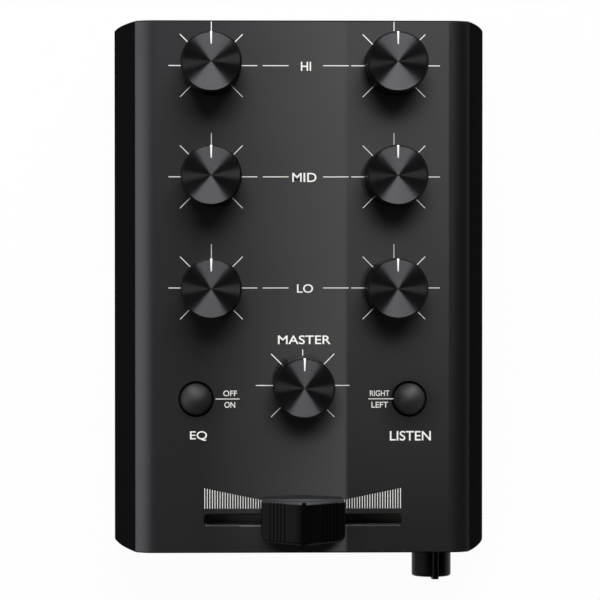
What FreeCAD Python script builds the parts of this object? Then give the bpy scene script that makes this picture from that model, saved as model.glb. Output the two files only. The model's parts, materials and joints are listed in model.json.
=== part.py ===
# Pocket mixer for two players: an extruded aluminium case with seven rotary controls on its panel,
# a crossfader, two latching push buttons, four sockets and a headphone volume knob at the front.
# Millimetres. +X is right, +Y is towards the rear sockets and +Z is up. The feet stand on z = 0,
# and the origin lies under the middle of the whole mixer, front knob and rear sockets included.
import FreeCAD, Part
import math
import os
from FreeCAD import Vector

# Case: an extruded hood, open below and at both ends
CASE_LENGTH = 106.5
CASE_WIDTH = 77.0
CASE_HEIGHT = 30.0
CASE_WALL = 1.8
SHOULDER_RADIUS = 6.0
SHOULDER_TURN = 45.0
SIDE_LEAN = 5.0
SIDE_BULGE = 0.65
EDGE_BREAK = 0.25
LEDGE_WIDTH = 5.5
LEDGE_HEIGHT = 5.0

# Base plate, end panels and feet
BASE_THICKNESS = 1.5
PANEL_THICKNESS = 1.2
PANEL_RECESS = 1.0
SHEET_GAP = 0.25
FOOT_RADIUS = 4.0
FOOT_HEIGHT = 1.5
FOOT_ROUND = 0.5
FOOT_SIDE_INSET = 11.0
FOOT_END_INSET = 11.0

# Screws: countersunk in the base plate, flat pan heads on the end panels
SCREW_RADIUS = 1.2
SCREW_LENGTH = 5.5
SCREW_HEAD_RADIUS = 2.0
PAN_HEAD_HEIGHT = 0.9
DRIVE_RADIUS = 0.75
DRIVE_DEPTH = 0.5
SCREW_GAP = 0.05
SCREW_HOLE_SPARE = 1.0
BASE_SCREW_END_INSET = 20.0

# Circuit board
BOARD_THICKNESS = 1.6
BOARD_GAP = 0.4

# Panel layout, measured from the edges of the flat panel
EQ_COLUMN_INSET = 11.0
EQ_REAR_INSET = 9.05
EQ_ROW_PITCH = 22.2
MASTER_ROW_DROP = 19.5
BUTTON_SIDE_INSET = 7.95
BUTTON_ROW_DROP = 22.2
FADER_FRONT_INSET = 6.65

# Panel potentiometers
POT_WIDTH = 9.8
POT_DEPTH = 11.4
POT_HEIGHT = 6.8
POT_CORNER = 1.2
POT_FLOOR = 1.4
TERMINAL_WIDTH = 1.0
TERMINAL_REACH = 1.2
TERMINAL_HEIGHT = 2.2
TERMINAL_PITCH = 2.5
BUSHING_RADIUS = 3.5
BUSHING_SPARE = 0.4
BUSHING_GAP = 0.15
WASHER_RADIUS = 4.8
WASHER_THICKNESS = 0.5
NUT_ACROSS_FLATS = 8.6
NUT_HEIGHT = 2.0
THREAD_GAP = 0.05
SHAFT_RADIUS = 3.0
SHAFT_FLAT = 1.5
SHAFT_REACH = 12.0
RUNNING_GAP = 0.05

# Panel knobs
KNOB_RADIUS = 6.0
KNOB_REACH = 15.0
KNOB_GAP = 0.8
KNOB_EDGE = 0.4
KNOB_FIT = 0.02
KNOB_NUT_GAP = 0.3
POINTER_LENGTH = 2.6
POINTER_OUTER_WIDTH = 0.46
POINTER_INNER_WIDTH = 0.22
POINTER_DEPTH = 0.3

# Crossfader
FADER_TRAVEL = 34.0
LEVER_WIDTH = 4.0
LEVER_THICKNESS = 1.2
LEVER_REACH = 7.0
SLOT_END_GAP = 0.55
SLOT_SIDE_GAP = 0.43
SLOT_CORNER = 0.4
FRAME_DEPTH = 8.0
FRAME_WALL = 0.8
FRAME_GAP = 0.3
RAIL_RADIUS = 0.8
RAIL_SPACING = 3.8
RAIL_FIT = 0.02
RAIL_RUNNING_GAP = 0.08
TRACK_THICKNESS = 1.0
SLIDER_LENGTH = 8.0
SLIDER_HEIGHT = 3.2
SLIDER_GAP = 0.4
WIPER_LENGTH = 6.0
WIPER_WIDTH = 2.6
WIPER_THICKNESS = 0.25
WIPER_GAP = 0.1

# Crossfader cap
CAP_LENGTH = 16.7
CAP_DEPTH = 8.4
CAP_RIDGE = 11.0
CAP_SLOPE = 37.0
CAP_RIDGE_RADIUS = 3.0
CAP_GAP = 0.7
CAP_BOW = 0.3
CAP_FRONT_CORNER = 1.5
CAP_REAR_CORNER = 0.7
CAP_EDGE = 0.6
CAP_FIT = 0.02
CAP_GROOVE_WIDTH = 0.84
CAP_GROOVE_DEPTH = 0.6
CAP_RIB_COUNT = 5
CAP_RIB_START = 3.8
CAP_RIB_PITCH = 0.7
CAP_RIB_WIDTH = 0.3
CAP_RIB_DEPTH = 0.14

# Push buttons and their latching switches
BUTTON_RADIUS = 3.1
BUTTON_GAP = 0.25
BUTTON_TRAVEL = 1.6
BUTTON_RIM = 1.1
BUTTON_CROWN = 3.1
BUTTON_SOCKET = 2.2
BUTTON_STOP_GAP = 0.35
BUTTON_FIT = 0.02
SWITCH_SIZE = 7.0
SWITCH_HEIGHT = 4.5
SWITCH_FLOOR = 0.7
SWITCH_CORNER = 0.5
PLUNGER_SIZE = 3.2
PLUNGER_GAP = 0.15
PLUNGER_HOLD = 1.1
SPRING_RADIUS = 1.1
SPRING_WIRE_RADIUS = 0.13
SPRING_TURNS = 3.5
SPRING_END_GAP = 0.02

# Sockets for 3.5 mm plugs
JACK_WIDTH = 9.0
JACK_LENGTH = 12.0
JACK_DROP = 4.0
JACK_BELOW_AXIS = 4.2
JACK_CORNER = 0.8
JACK_BORE_RADIUS = 1.8
JACK_BORE_DEPTH = 13.0
JACK_NOSE_RADIUS = 3.0
JACK_NOSE_GAP = 0.15
JACK_NOSE_SPARE = 0.1
JACK_NUT_RADIUS = 4.2
JACK_NUT_HEIGHT = 1.4
JACK_NUT_NOTCHES = 4
JACK_NUT_NOTCH_WIDTH = 1.0
JACK_NUT_NOTCH_DEPTH = 0.6
REAR_JACK_OUTSET = 1.74
HEADPHONE_JACK_OFFSET = 15.7

# Headphone volume
PHONES_FROM_SIDE = 11.8
PHONES_POT_WIDTH = 8.0
PHONES_POT_DEPTH = 7.0
PHONES_POT_BELOW_AXIS = 4.5
PHONES_COLLAR_RADIUS = 3.0
PHONES_COLLAR_GAP = 0.2
PHONES_SHAFT_RADIUS = 2.0
PHONES_SHAFT_FLAT = 1.0
PHONES_SHAFT_INSET = 1.8
PHONES_SHAFT_SEAT = 1.5
PHONES_KNOB_RADIUS = 4.0
PHONES_KNOB_REACH = 6.0
PHONES_KNOB_GAP = 0.4
PHONES_KNOB_EDGE = 0.5
PHONES_RIB_WIDTH = 1.4
PHONES_RIB_HEIGHT = 0.4
PHONES_RIB_REACH = 0.4
PHONES_RIB_TAPER = 0.1
PHONES_RIB_EDGE = 0.6
PHONES_RIB_ANGLE = 9.0

# Passive tone network
CAPACITOR_LENGTH = 7.2
CAPACITOR_WIDTH = 2.6
CAPACITOR_HEIGHT = 6.4
CAPACITOR_EDGE = 0.4
RESISTOR_RADIUS = 0.9
RESISTOR_WAIST = 0.75
RESISTOR_LENGTH = 5.0
RESISTOR_CAP = 1.0
RESISTOR_PITCH = 2.6
SEAT_GAP = 0.05
NETWORK_GAP = 1.5

# Heights
COVER_LOW = FOOT_HEIGHT
BASE_TOP = COVER_LOW + BASE_THICKNESS
PANEL_TOP = COVER_LOW + CASE_HEIGHT
PANEL_UNDER = PANEL_TOP - CASE_WALL
BOARD_TOP = PANEL_UNDER - POT_HEIGHT
BOARD_BOTTOM = BOARD_TOP - BOARD_THICKNESS
SOCKET_Z = BOARD_BOTTOM - JACK_DROP
NUT_TOP = PANEL_TOP + WASHER_THICKNESS + NUT_HEIGHT
BUSHING_TOP = NUT_TOP + BUSHING_SPARE
SHAFT_FOOT = BOARD_TOP + POT_FLOOR
SHAFT_TOP = PANEL_TOP + SHAFT_REACH
KNOB_LOW = PANEL_TOP + KNOB_GAP
KNOB_TOP = PANEL_TOP + KNOB_REACH
FRAME_TOP = PANEL_UNDER - FRAME_GAP
FRAME_CEILING = FRAME_TOP - FRAME_WALL
TRACK_TOP = BOARD_TOP + TRACK_THICKNESS
SLIDER_TOP = FRAME_CEILING - SLIDER_GAP
SLIDER_LOW = SLIDER_TOP - SLIDER_HEIGHT
LEVER_TOP = PANEL_TOP + LEVER_REACH
SWITCH_TOP = BOARD_TOP + SWITCH_HEIGHT
WELL_FLOOR = BOARD_TOP + SWITCH_FLOOR
BUTTON_LOW = SWITCH_TOP + BUTTON_TRAVEL + BUTTON_STOP_GAP
PLUNGER_LOW = SWITCH_TOP - PLUNGER_HOLD
PLUNGER_TOP = BUTTON_LOW + BUTTON_SOCKET

# Cross-section of the hood: a rounded shoulder meets the bulging, leaning side wall in a crease
TURN = math.radians(SHOULDER_TURN)
SHOULDER_X = CASE_WIDTH / 2 - SIDE_LEAN - SHOULDER_RADIUS * math.sin(TURN)
SHOULDER_CENTRE = Vector(SHOULDER_X, 0, PANEL_TOP - SHOULDER_RADIUS)
CREASE = SHOULDER_CENTRE + Vector(math.sin(TURN), 0, math.cos(TURN)) * SHOULDER_RADIUS
WALL_FOOT = Vector(CASE_WIDTH / 2, 0, COVER_LOW)
WALL_CHORD = CREASE - WALL_FOOT
WALL_RADIUS = (WALL_CHORD.Length ** 2 / 4 + SIDE_BULGE ** 2) / (2 * SIDE_BULGE)
WALL_OUTWARD = Vector(WALL_CHORD.z, 0, -WALL_CHORD.x) * (1 / WALL_CHORD.Length)
WALL_CENTRE = (WALL_FOOT + CREASE) * 0.5 - WALL_OUTWARD * (WALL_RADIUS - SIDE_BULGE)


def wall_x(z, inset=0.0):
    """Half the width between the side walls, drawn in by inset, at height z."""
    return WALL_CENTRE.x + math.sqrt((WALL_RADIUS - inset) ** 2 - (z - WALL_CENTRE.z) ** 2)


def crease_point(inset):
    """Where the shoulder's arc and the side wall's arc meet, both drawn in by inset."""
    wall, shoulder = WALL_RADIUS - inset, SHOULDER_RADIUS - inset
    line = SHOULDER_CENTRE - WALL_CENTRE
    apart = line.Length
    along = (wall ** 2 - shoulder ** 2 + apart ** 2) / (2 * apart)
    way = line * (1 / apart)
    across = Vector(-way.z, 0, way.x)
    return WALL_CENTRE + way * along + across * math.sqrt(wall ** 2 - along ** 2)


# Places along the mixer, from the middle of the case
CASE_END = CASE_LENGTH / 2
PANEL_FACE = CASE_END - PANEL_RECESS
PANEL_SEAT = PANEL_FACE - PANEL_THICKNESS
EQ_X = SHOULDER_X - EQ_COLUMN_INSET
EQ_ROWS = {
    "hi": CASE_END - EQ_REAR_INSET,
    "mid": CASE_END - EQ_REAR_INSET - EQ_ROW_PITCH,
    "lo": CASE_END - EQ_REAR_INSET - 2 * EQ_ROW_PITCH,
}
MASTER_Y = EQ_ROWS["lo"] - MASTER_ROW_DROP
BUTTON_X = SHOULDER_X - BUTTON_SIDE_INSET
BUTTON_Y = EQ_ROWS["lo"] - BUTTON_ROW_DROP
FADER_Y = FADER_FRONT_INSET - CASE_END
LEDGE_INNER = CASE_WIDTH / 2 - CASE_WALL - LEDGE_WIDTH
SCREW_X = LEDGE_INNER + LEDGE_WIDTH / 2
PANEL_SCREW_Z = BASE_TOP + LEDGE_HEIGHT / 2
BASE_SCREW_Y = CASE_END - BASE_SCREW_END_INSET
BASE_HALF_WIDTH = wall_x(BASE_TOP, CASE_WALL) - SHEET_GAP
FOOT_X = BASE_HALF_WIDTH - FOOT_SIDE_INSET
FOOT_Y = CASE_END - FOOT_END_INSET
NUT_CORNER = NUT_ACROSS_FLATS / math.sqrt(3)
JACK_NOSE_END = PANEL_FACE + JACK_NUT_HEIGHT + JACK_NOSE_SPARE
SLOT_HALF_LENGTH = FADER_TRAVEL / 2 + LEVER_WIDTH / 2 + SLOT_END_GAP
SLOT_HALF_WIDTH = LEVER_THICKNESS / 2 + SLOT_SIDE_GAP
FRAME_HALF_LENGTH = FADER_TRAVEL / 2 + SLIDER_LENGTH / 2 + SLIDER_GAP + FRAME_WALL
PHONES_KNOB_END = CASE_END + PHONES_KNOB_REACH
FRONT_REACH = PHONES_KNOB_END + PHONES_RIB_REACH
REAR_REACH = max(CASE_END, JACK_NOSE_END)
ORIGIN_SHIFT = Vector(0, (FRONT_REACH - REAR_REACH) / 2, 0)
CUT_PAST = 1.0
BOARD_HALF_WIDTH = min(LEDGE_INNER, wall_x(BOARD_TOP, CASE_WALL)) - BOARD_GAP
BOARD_END = PANEL_SEAT - BOARD_GAP
PHONES_X = CASE_WIDTH / 2 - PHONES_FROM_SIDE
HEADPHONE_JACK_X = PHONES_X - HEADPHONE_JACK_OFFSET
REAR_JACK_X = EQ_X + REAR_JACK_OUTSET
NETWORK_X = EQ_X / 2
NETWORK_REAR = PANEL_SEAT - JACK_LENGTH - NETWORK_GAP
NETWORK_DROP = EQ_ROWS["hi"] - NETWORK_REAR + CAPACITOR_WIDTH / 2


def block(x0, x1, y0, y1, z0, z1):
    """Box between two corners."""
    return Part.makeBox(x1 - x0, y1 - y0, z1 - z0, Vector(x0, y0, z0))


def centred_block(half_x, half_y, z0, z1, x=0.0, y=0.0):
    """Upright box about the line x, y."""
    return block(x - half_x, x + half_x, y - half_y, y + half_y, z0, z1)


def post(radius, z0, z1, x=0.0, y=0.0):
    """Upright cylinder on the line x, y."""
    return Part.makeCylinder(radius, z1 - z0, Vector(x, y, z0), Vector(0, 0, 1))


def rod(radius, start, end):
    """Cylinder from one point to another."""
    return Part.makeCylinder(radius, (end - start).Length, start, end - start)


def prism(points, sweep):
    """Solid swept from a closed polygon."""
    return Part.Face(Part.makePolygon(points + [points[0]])).extrude(sweep)


def hexagon(across_flats, z0, z1):
    """Upright six-sided bar on the Z axis."""
    corner = across_flats / math.sqrt(3)
    turns = [math.radians(60 * i) for i in range(6)]
    points = [Vector(corner * math.cos(t), corner * math.sin(t), z0) for t in turns]
    return prism(points, Vector(0, 0, z1 - z0))


def at(shape, x, y, z=0.0):
    """Copy of a shape moved by x, y, z."""
    return shape.translated(Vector(x, y, z))


def turned(shape, degrees):
    """Copy of a shape turned about the Z axis."""
    return shape.rotated(Vector(0, 0, 0), Vector(0, 0, 1), degrees)


def upright_edges(shape):
    """Edges of a shape that run straight up."""
    return [e for e in shape.Edges if e.BoundBox.XLength < 1e-6 and e.BoundBox.YLength < 1e-6]


def level_edges(shape, z):
    """Edges of a shape that lie at height z."""
    return [e for e in shape.Edges if abs(e.BoundBox.ZMin - z) < 1e-6 and abs(e.BoundBox.ZMax - z) < 1e-6]


def four_corners(shape, x, y):
    """Four copies of a shape at plus and minus x and y."""
    return [at(shape, sx * x, sy * y) for sx in (-1, 1) for sy in (-1, 1)]


def case_prism(inset, y0, y1):
    """Solid with the hood's outline, drawn in by inset, between two ends."""
    corner = crease_point(inset)
    rise = corner - SHOULDER_CENTRE
    halfway = (math.atan2(rise.z, rise.x) + math.pi / 2) / 2
    on_round = SHOULDER_CENTRE + Vector(math.cos(halfway), 0, math.sin(halfway)) * (SHOULDER_RADIUS - inset)
    mid_z = (COVER_LOW + corner.z) / 2
    right = [
        Vector(wall_x(COVER_LOW, inset), 0, COVER_LOW),
        Vector(wall_x(mid_z, inset), 0, mid_z),
        corner,
        on_round,
        Vector(SHOULDER_X, 0, PANEL_TOP - inset),
    ]
    left = [Vector(-p.x, 0, p.z) for p in reversed(right)]
    edges = [
        Part.Arc(*right[:3]),
        Part.Arc(*right[2:]),
        Part.LineSegment(right[-1], left[0]),
        Part.Arc(*left[:3]),
        Part.Arc(*left[2:]),
        Part.LineSegment(left[-1], right[0]),
    ]
    face = Part.Face(Part.Wire([edge.toShape() for edge in edges]))
    return at(face.extrude(Vector(0, y1 - y0, 0)), 0.0, y0)


def fader_slot(z0, z1):
    """Solid of the crossfader's slot, with small corner radii."""
    slot = centred_block(SLOT_HALF_LENGTH, SLOT_HALF_WIDTH, z0, z1, 0.0, FADER_Y)
    return slot.makeFillet(SLOT_CORNER, upright_edges(slot))


def pot_places():
    """Name and place of each panel potentiometer."""
    places = {}
    for row, y in EQ_ROWS.items():
        places[row + "_left"] = (-EQ_X, y)
        places[row + "_right"] = (EQ_X, y)
    places["master"] = (0.0, MASTER_Y)
    return places


def rear_jack_places():
    """Name and x of each rear socket."""
    return {
        "left_input_jack": -REAR_JACK_X,
        "master_output_jack": 0.0,
        "right_input_jack": REAR_JACK_X,
    }


def screw_holes():
    """Blind holes in the hood's ledges for the base and panel screws."""
    radius = SCREW_RADIUS + SCREW_GAP
    depth = SCREW_LENGTH + SCREW_HOLE_SPARE
    up = post(radius, COVER_LOW, COVER_LOW + min(depth, BASE_THICKNESS + LEDGE_HEIGHT - SCREW_HOLE_SPARE))
    holes = four_corners(up, SCREW_X, BASE_SCREW_Y)
    for side in (-1, 1):
        for end in (-1, 1):
            mouth = Vector(side * SCREW_X, end * PANEL_SEAT, PANEL_SCREW_Z)
            holes.append(rod(radius, mouth, mouth - Vector(0, end * depth, 0)))
    return holes


def top_cover():
    """Extruded hood with screw ledges, and holes for every control on its panel."""
    outer = case_prism(0.0, -CASE_END, CASE_END)
    rim = [
        e for e in outer.Edges
        if e.BoundBox.YLength < 1e-6 and e.BoundBox.ZMax > COVER_LOW + 1e-6
    ]
    outer = outer.makeChamfer(EDGE_BREAK, rim)
    shell = outer.cut(case_prism(CASE_WALL, -CASE_END - CUT_PAST, CASE_END + CUT_PAST))
    ledge_top = BASE_TOP + LEDGE_HEIGHT
    for side in (-1, 1):
        x0, x1 = sorted((side * LEDGE_INNER, side * CASE_WIDTH / 2))
        ledge = block(x0, x1, -PANEL_SEAT, PANEL_SEAT, BASE_TOP, ledge_top)
        shell = shell.fuse(ledge.common(outer))
    low, high = PANEL_UNDER - CUT_PAST, PANEL_TOP + CUT_PAST
    holes = [post(BUSHING_RADIUS + BUSHING_GAP, low, high, x, y) for x, y in pot_places().values()]
    for side in (-1, 1):
        holes.append(post(BUTTON_RADIUS + BUTTON_GAP, low, high, side * BUTTON_X, BUTTON_Y))
    holes.append(fader_slot(low, high))
    shell = shell.cut(holes + screw_holes()).removeSplitter()
    rims = [e for e in level_edges(shell, PANEL_TOP) if is_control_rim(e)]
    return shell.makeChamfer(EDGE_BREAK, rims)


def is_control_rim(edge):
    """Whether a panel edge belongs to a button's hole or to the crossfader's slot."""
    centre = edge.BoundBox.Center
    in_slot = abs(centre.y - FADER_Y) < SLOT_HALF_WIDTH + 1e-3 and abs(centre.x) < SLOT_HALF_LENGTH + 1e-3
    to_button = math.hypot(abs(centre.x) - BUTTON_X, centre.y - BUTTON_Y)
    return in_slot or to_button < BUTTON_RADIUS


def base_plate():
    """Flat bottom between the hood's walls, countersunk for its screws."""
    plate = centred_block(BASE_HALF_WIDTH, PANEL_FACE, COVER_LOW, BASE_TOP)
    sink_radius = SCREW_HEAD_RADIUS + SCREW_GAP
    hole_radius = SCREW_RADIUS + SCREW_GAP
    sink = Part.makeCone(sink_radius, hole_radius, sink_radius - hole_radius, Vector(0, 0, COVER_LOW))
    hole = sink.fuse(post(hole_radius, COVER_LOW, BASE_TOP))
    return plate.cut(four_corners(hole, SCREW_X, BASE_SCREW_Y))


def base_screw():
    """Countersunk screw pointing up from the underside, with a six-sided driver socket."""
    cone = SCREW_HEAD_RADIUS - SCREW_RADIUS
    head = Part.makeCone(SCREW_HEAD_RADIUS, SCREW_RADIUS, cone, Vector(0, 0, COVER_LOW))
    reach = min(SCREW_LENGTH, BASE_THICKNESS + LEDGE_HEIGHT - 2 * SCREW_HOLE_SPARE)
    shank = post(SCREW_RADIUS, COVER_LOW, COVER_LOW + reach)
    socket = hexagon(2 * DRIVE_RADIUS, COVER_LOW, COVER_LOW + DRIVE_DEPTH)
    return head.fuse(shank).removeSplitter().cut(socket)


def panel_screw():
    """Pan-head screw through the rear panel, with a six-sided driver socket, at x = 0 and z = 0."""
    face = Vector(0, PANEL_FACE, 0)
    crown = face + Vector(0, PAN_HEAD_HEIGHT, 0)
    head = rod(SCREW_HEAD_RADIUS, face, crown)
    shank = rod(SCREW_RADIUS, face, face - Vector(0, SCREW_LENGTH, 0))
    socket = hexagon(2 * DRIVE_RADIUS, 0, DRIVE_DEPTH).rotated(Vector(0, 0, 0), Vector(1, 0, 0), 90)
    return head.fuse(shank).removeSplitter().cut(socket.translated(crown))


def panel_screws():
    """Two screws at each end of the case."""
    rear = [at(panel_screw(), side * SCREW_X, 0.0, PANEL_SCREW_Z) for side in (-1, 1)]
    return rear + [turned(screw, 180) for screw in rear]


def end_panel(openings):
    """Rear end plate inside the hood, standing on the base plate, with round openings (x, radius)."""
    plate = case_prism(CASE_WALL + SHEET_GAP, PANEL_SEAT, PANEL_FACE)
    below = block(-CASE_WIDTH, CASE_WIDTH, 0, CASE_LENGTH, COVER_LOW - CUT_PAST, BASE_TOP)
    past = Vector(0, CUT_PAST, 0)
    cuts = [below]
    for x, radius in openings:
        centre = Vector(x, PANEL_SEAT, SOCKET_Z)
        cuts.append(rod(radius, centre - past, centre + past + Vector(0, PANEL_THICKNESS, 0)))
    for side in (-1, 1):
        centre = Vector(side * SCREW_X, PANEL_SEAT, PANEL_SCREW_Z)
        end = centre + past + Vector(0, PANEL_THICKNESS, 0)
        cuts.append(rod(SCREW_RADIUS + SCREW_GAP, centre - past, end))
    return plate.cut(cuts)


def rear_panel():
    """End plate for the two inputs and the master output."""
    radius = JACK_NOSE_RADIUS + JACK_NOSE_GAP
    return end_panel([(x, radius) for x in rear_jack_places().values()])


def front_panel():
    """End plate for the headphone socket and volume shaft."""
    socket = (-HEADPHONE_JACK_X, JACK_NOSE_RADIUS + JACK_NOSE_GAP)
    volume = (-PHONES_X, PHONES_COLLAR_RADIUS + PHONES_COLLAR_GAP)
    return turned(end_panel([socket, volume]), 180)


def foot():
    """Round rubber foot with a softened lower rim."""
    pad = post(FOOT_RADIUS, 0, FOOT_HEIGHT)
    return pad.makeFillet(min(FOOT_ROUND, FOOT_HEIGHT / 2), level_edges(pad, 0))


def main_board():
    """Circuit board under the panel, between the side walls."""
    board = centred_block(BOARD_HALF_WIDTH, BOARD_END, BOARD_BOTTOM, BOARD_TOP)
    return board.makeFillet(BOARD_GAP, upright_edges(board))


def potentiometer():
    """Housing with a threaded bushing, three terminals and a blind bore for the shaft."""
    body = centred_block(POT_WIDTH / 2, POT_DEPTH / 2, BOARD_TOP, PANEL_UNDER)
    body = body.makeChamfer(POT_CORNER, upright_edges(body))
    bushing = post(BUSHING_RADIUS, PANEL_UNDER, BUSHING_TOP)
    terminals = [
        block(
            i * TERMINAL_PITCH - TERMINAL_WIDTH / 2, i * TERMINAL_PITCH + TERMINAL_WIDTH / 2,
            -POT_DEPTH / 2 - TERMINAL_REACH, -POT_DEPTH / 2, BOARD_TOP, BOARD_TOP + TERMINAL_HEIGHT,
        )
        for i in (-1, 0, 1)
    ]
    bore = post(SHAFT_RADIUS + RUNNING_GAP, SHAFT_FOOT - RUNNING_GAP, BUSHING_TOP + CUT_PAST)
    return body.fuse([bushing] + terminals).removeSplitter().cut(bore)


def pot_washer():
    """Flat washer round a bushing."""
    top = PANEL_TOP + WASHER_THICKNESS
    return post(WASHER_RADIUS, PANEL_TOP, top).cut(post(BUSHING_RADIUS + THREAD_GAP, PANEL_TOP, top))


def pot_nut():
    """Six-sided nut on a bushing."""
    low = PANEL_TOP + WASHER_THICKNESS
    return hexagon(NUT_ACROSS_FLATS, low, NUT_TOP).cut(post(BUSHING_RADIUS + THREAD_GAP, low, NUT_TOP))


def flatted(radius, flat, z0, z1):
    """Upright round bar with a flat on its front side."""
    bar = post(radius, z0, z1)
    return bar.cut(block(-2 * radius, 2 * radius, -2 * radius, flat - radius, z0, z1))


def pot_shaft():
    """Round shaft with a flat where the knob sits."""
    return post(SHAFT_RADIUS, SHAFT_FOOT, BUSHING_TOP).fuse(
        flatted(SHAFT_RADIUS, SHAFT_FLAT, BUSHING_TOP, SHAFT_TOP)
    ).removeSplitter()


def knob():
    """Turned knob, hollow over the nut, with a pointer groove from the rim inwards."""
    body = post(KNOB_RADIUS, KNOB_LOW, KNOB_TOP)
    body = body.makeChamfer(KNOB_EDGE, level_edges(body, KNOB_TOP))
    recess_top = BUSHING_TOP + KNOB_NUT_GAP
    recess = post(max(NUT_CORNER, WASHER_RADIUS) + KNOB_NUT_GAP, KNOB_LOW, recess_top)
    bore = flatted(SHAFT_RADIUS + KNOB_FIT, SHAFT_FLAT, recess_top - CUT_PAST, SHAFT_TOP)
    inner, outer = KNOB_RADIUS - POINTER_LENGTH, KNOB_RADIUS + CUT_PAST
    floor = KNOB_TOP - POINTER_DEPTH
    groove = prism([
        Vector(-POINTER_INNER_WIDTH / 2, inner, floor),
        Vector(POINTER_INNER_WIDTH / 2, inner, floor),
        Vector(POINTER_OUTER_WIDTH / 2, outer, floor),
        Vector(-POINTER_OUTER_WIDTH / 2, outer, floor),
    ], Vector(0, 0, POINTER_DEPTH + CUT_PAST))
    return body.cut([recess, bore, groove])


def crossfader_frame():
    """Folded steel channel over the slider, slotted for its lever."""
    half_depth = FRAME_DEPTH / 2
    shell = centred_block(FRAME_HALF_LENGTH, half_depth, BOARD_TOP, FRAME_TOP, 0.0, FADER_Y)
    hollow = centred_block(
        FRAME_HALF_LENGTH - FRAME_WALL, half_depth - FRAME_WALL, BOARD_TOP, FRAME_CEILING, 0.0, FADER_Y
    )
    cuts = [hollow, fader_slot(FRAME_CEILING - CUT_PAST, FRAME_TOP + CUT_PAST)]
    return shell.cut(cuts + fader_rails(RAIL_RADIUS + RAIL_FIT))


def fader_rails(radius):
    """Two round rails along the crossfader, at the given radius."""
    z = (SLIDER_LOW + SLIDER_TOP) / 2
    rails = []
    for side in (-1, 1):
        y = FADER_Y + side * RAIL_SPACING / 2
        rails.append(rod(radius, Vector(-FRAME_HALF_LENGTH, y, z), Vector(FRAME_HALF_LENGTH, y, z)))
    return rails


def crossfader_track():
    """Strip with the resistive tracks, lying on the board inside the frame."""
    half_length = FRAME_HALF_LENGTH - FRAME_WALL - SHEET_GAP
    half_depth = FRAME_DEPTH / 2 - FRAME_WALL - SHEET_GAP
    return centred_block(half_length, half_depth, BOARD_TOP, TRACK_TOP, 0.0, FADER_Y)


def crossfader_slider():
    """Moulded block on the two rails, with the lever that carries the cap."""
    half_depth = FRAME_DEPTH / 2 - FRAME_WALL - SLIDER_GAP
    carriage = centred_block(SLIDER_LENGTH / 2, half_depth, SLIDER_LOW, SLIDER_TOP, 0.0, FADER_Y)
    lever = centred_block(LEVER_WIDTH / 2, LEVER_THICKNESS / 2, SLIDER_TOP, LEVER_TOP, 0.0, FADER_Y)
    return carriage.fuse(lever).removeSplitter().cut(fader_rails(RAIL_RADIUS + RAIL_RUNNING_GAP))


def crossfader_wiper():
    """Sprung contact strip under the slider, with two fingers that reach down to the track."""
    top, under = SLIDER_LOW, SLIDER_LOW - WIPER_THICKNESS
    tip = TRACK_TOP + WIPER_GAP
    root_x, tip_x = WIPER_LENGTH / 4, WIPER_LENGTH / 2
    y0 = FADER_Y - WIPER_WIDTH / 2
    outline = [
        Vector(-root_x, y0, top), Vector(root_x, y0, top),
        Vector(tip_x, y0, tip + WIPER_THICKNESS), Vector(tip_x, y0, tip),
        Vector(tip_x - 2 * WIPER_THICKNESS, y0, tip), Vector(root_x - WIPER_THICKNESS, y0, under),
        Vector(WIPER_THICKNESS - root_x, y0, under), Vector(2 * WIPER_THICKNESS - tip_x, y0, tip),
        Vector(-tip_x, y0, tip), Vector(-tip_x, y0, tip + WIPER_THICKNESS),
    ]
    return prism(outline, Vector(0, WIPER_WIDTH, 0))


def cap_gable():
    """Front outline of the crossfader cap, swept well past its depth."""
    slope = math.radians(CAP_SLOPE)
    half = CAP_LENGTH / 2
    low, ridge = PANEL_TOP + CAP_GAP, PANEL_TOP + CAP_RIDGE
    tangent_x = CAP_RIDGE_RADIUS * math.sin(slope)
    tangent_z = ridge - CAP_RIDGE_RADIUS * (1 - math.cos(slope))
    eaves = tangent_z - (half - tangent_x) * math.tan(slope)
    y = FADER_Y - CAP_DEPTH
    points = [
        Vector(-tangent_x, y, tangent_z), Vector(-half, y, eaves), Vector(-half, y, low),
        Vector(half, y, low), Vector(half, y, eaves), Vector(tangent_x, y, tangent_z),
    ]
    edges = [Part.LineSegment(a, b).toShape() for a, b in zip(points, points[1:])]
    edges.append(Part.Arc(points[-1], Vector(0, y, ridge), points[0]).toShape())
    return Part.Face(Part.Wire(edges)).extrude(Vector(0, 2 * CAP_DEPTH, 0))


def cap_plan():
    """Upright bar with the cap's outline from above: straight behind, bowed and rounded in front."""
    half, rear, front = CAP_LENGTH / 2, FADER_Y + CAP_DEPTH / 2, FADER_Y - CAP_DEPTH / 2
    low = PANEL_TOP + CAP_GAP
    rear_right, rear_left = Vector(half, rear, low), Vector(-half, rear, low)
    front_right, front_left = Vector(half, front + CAP_BOW, low), Vector(-half, front + CAP_BOW, low)
    edges = [
        Part.LineSegment(front_right, rear_right),
        Part.LineSegment(rear_right, rear_left),
        Part.LineSegment(rear_left, front_left),
        Part.Arc(front_left, Vector(0, front, low), front_right),
    ]
    face = Part.Face(Part.Wire([edge.toShape() for edge in edges]))
    bar = face.extrude(Vector(0, 0, CAP_RIDGE + CUT_PAST))
    front_edges = [e for e in upright_edges(bar) if e.BoundBox.Center.y < FADER_Y]
    bar = bar.makeFillet(CAP_FRONT_CORNER, front_edges)
    rear_edges = [e for e in upright_edges(bar) if e.BoundBox.Center.y > rear - 1e-6]
    return bar.makeFillet(CAP_REAR_CORNER, rear_edges)


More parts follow.
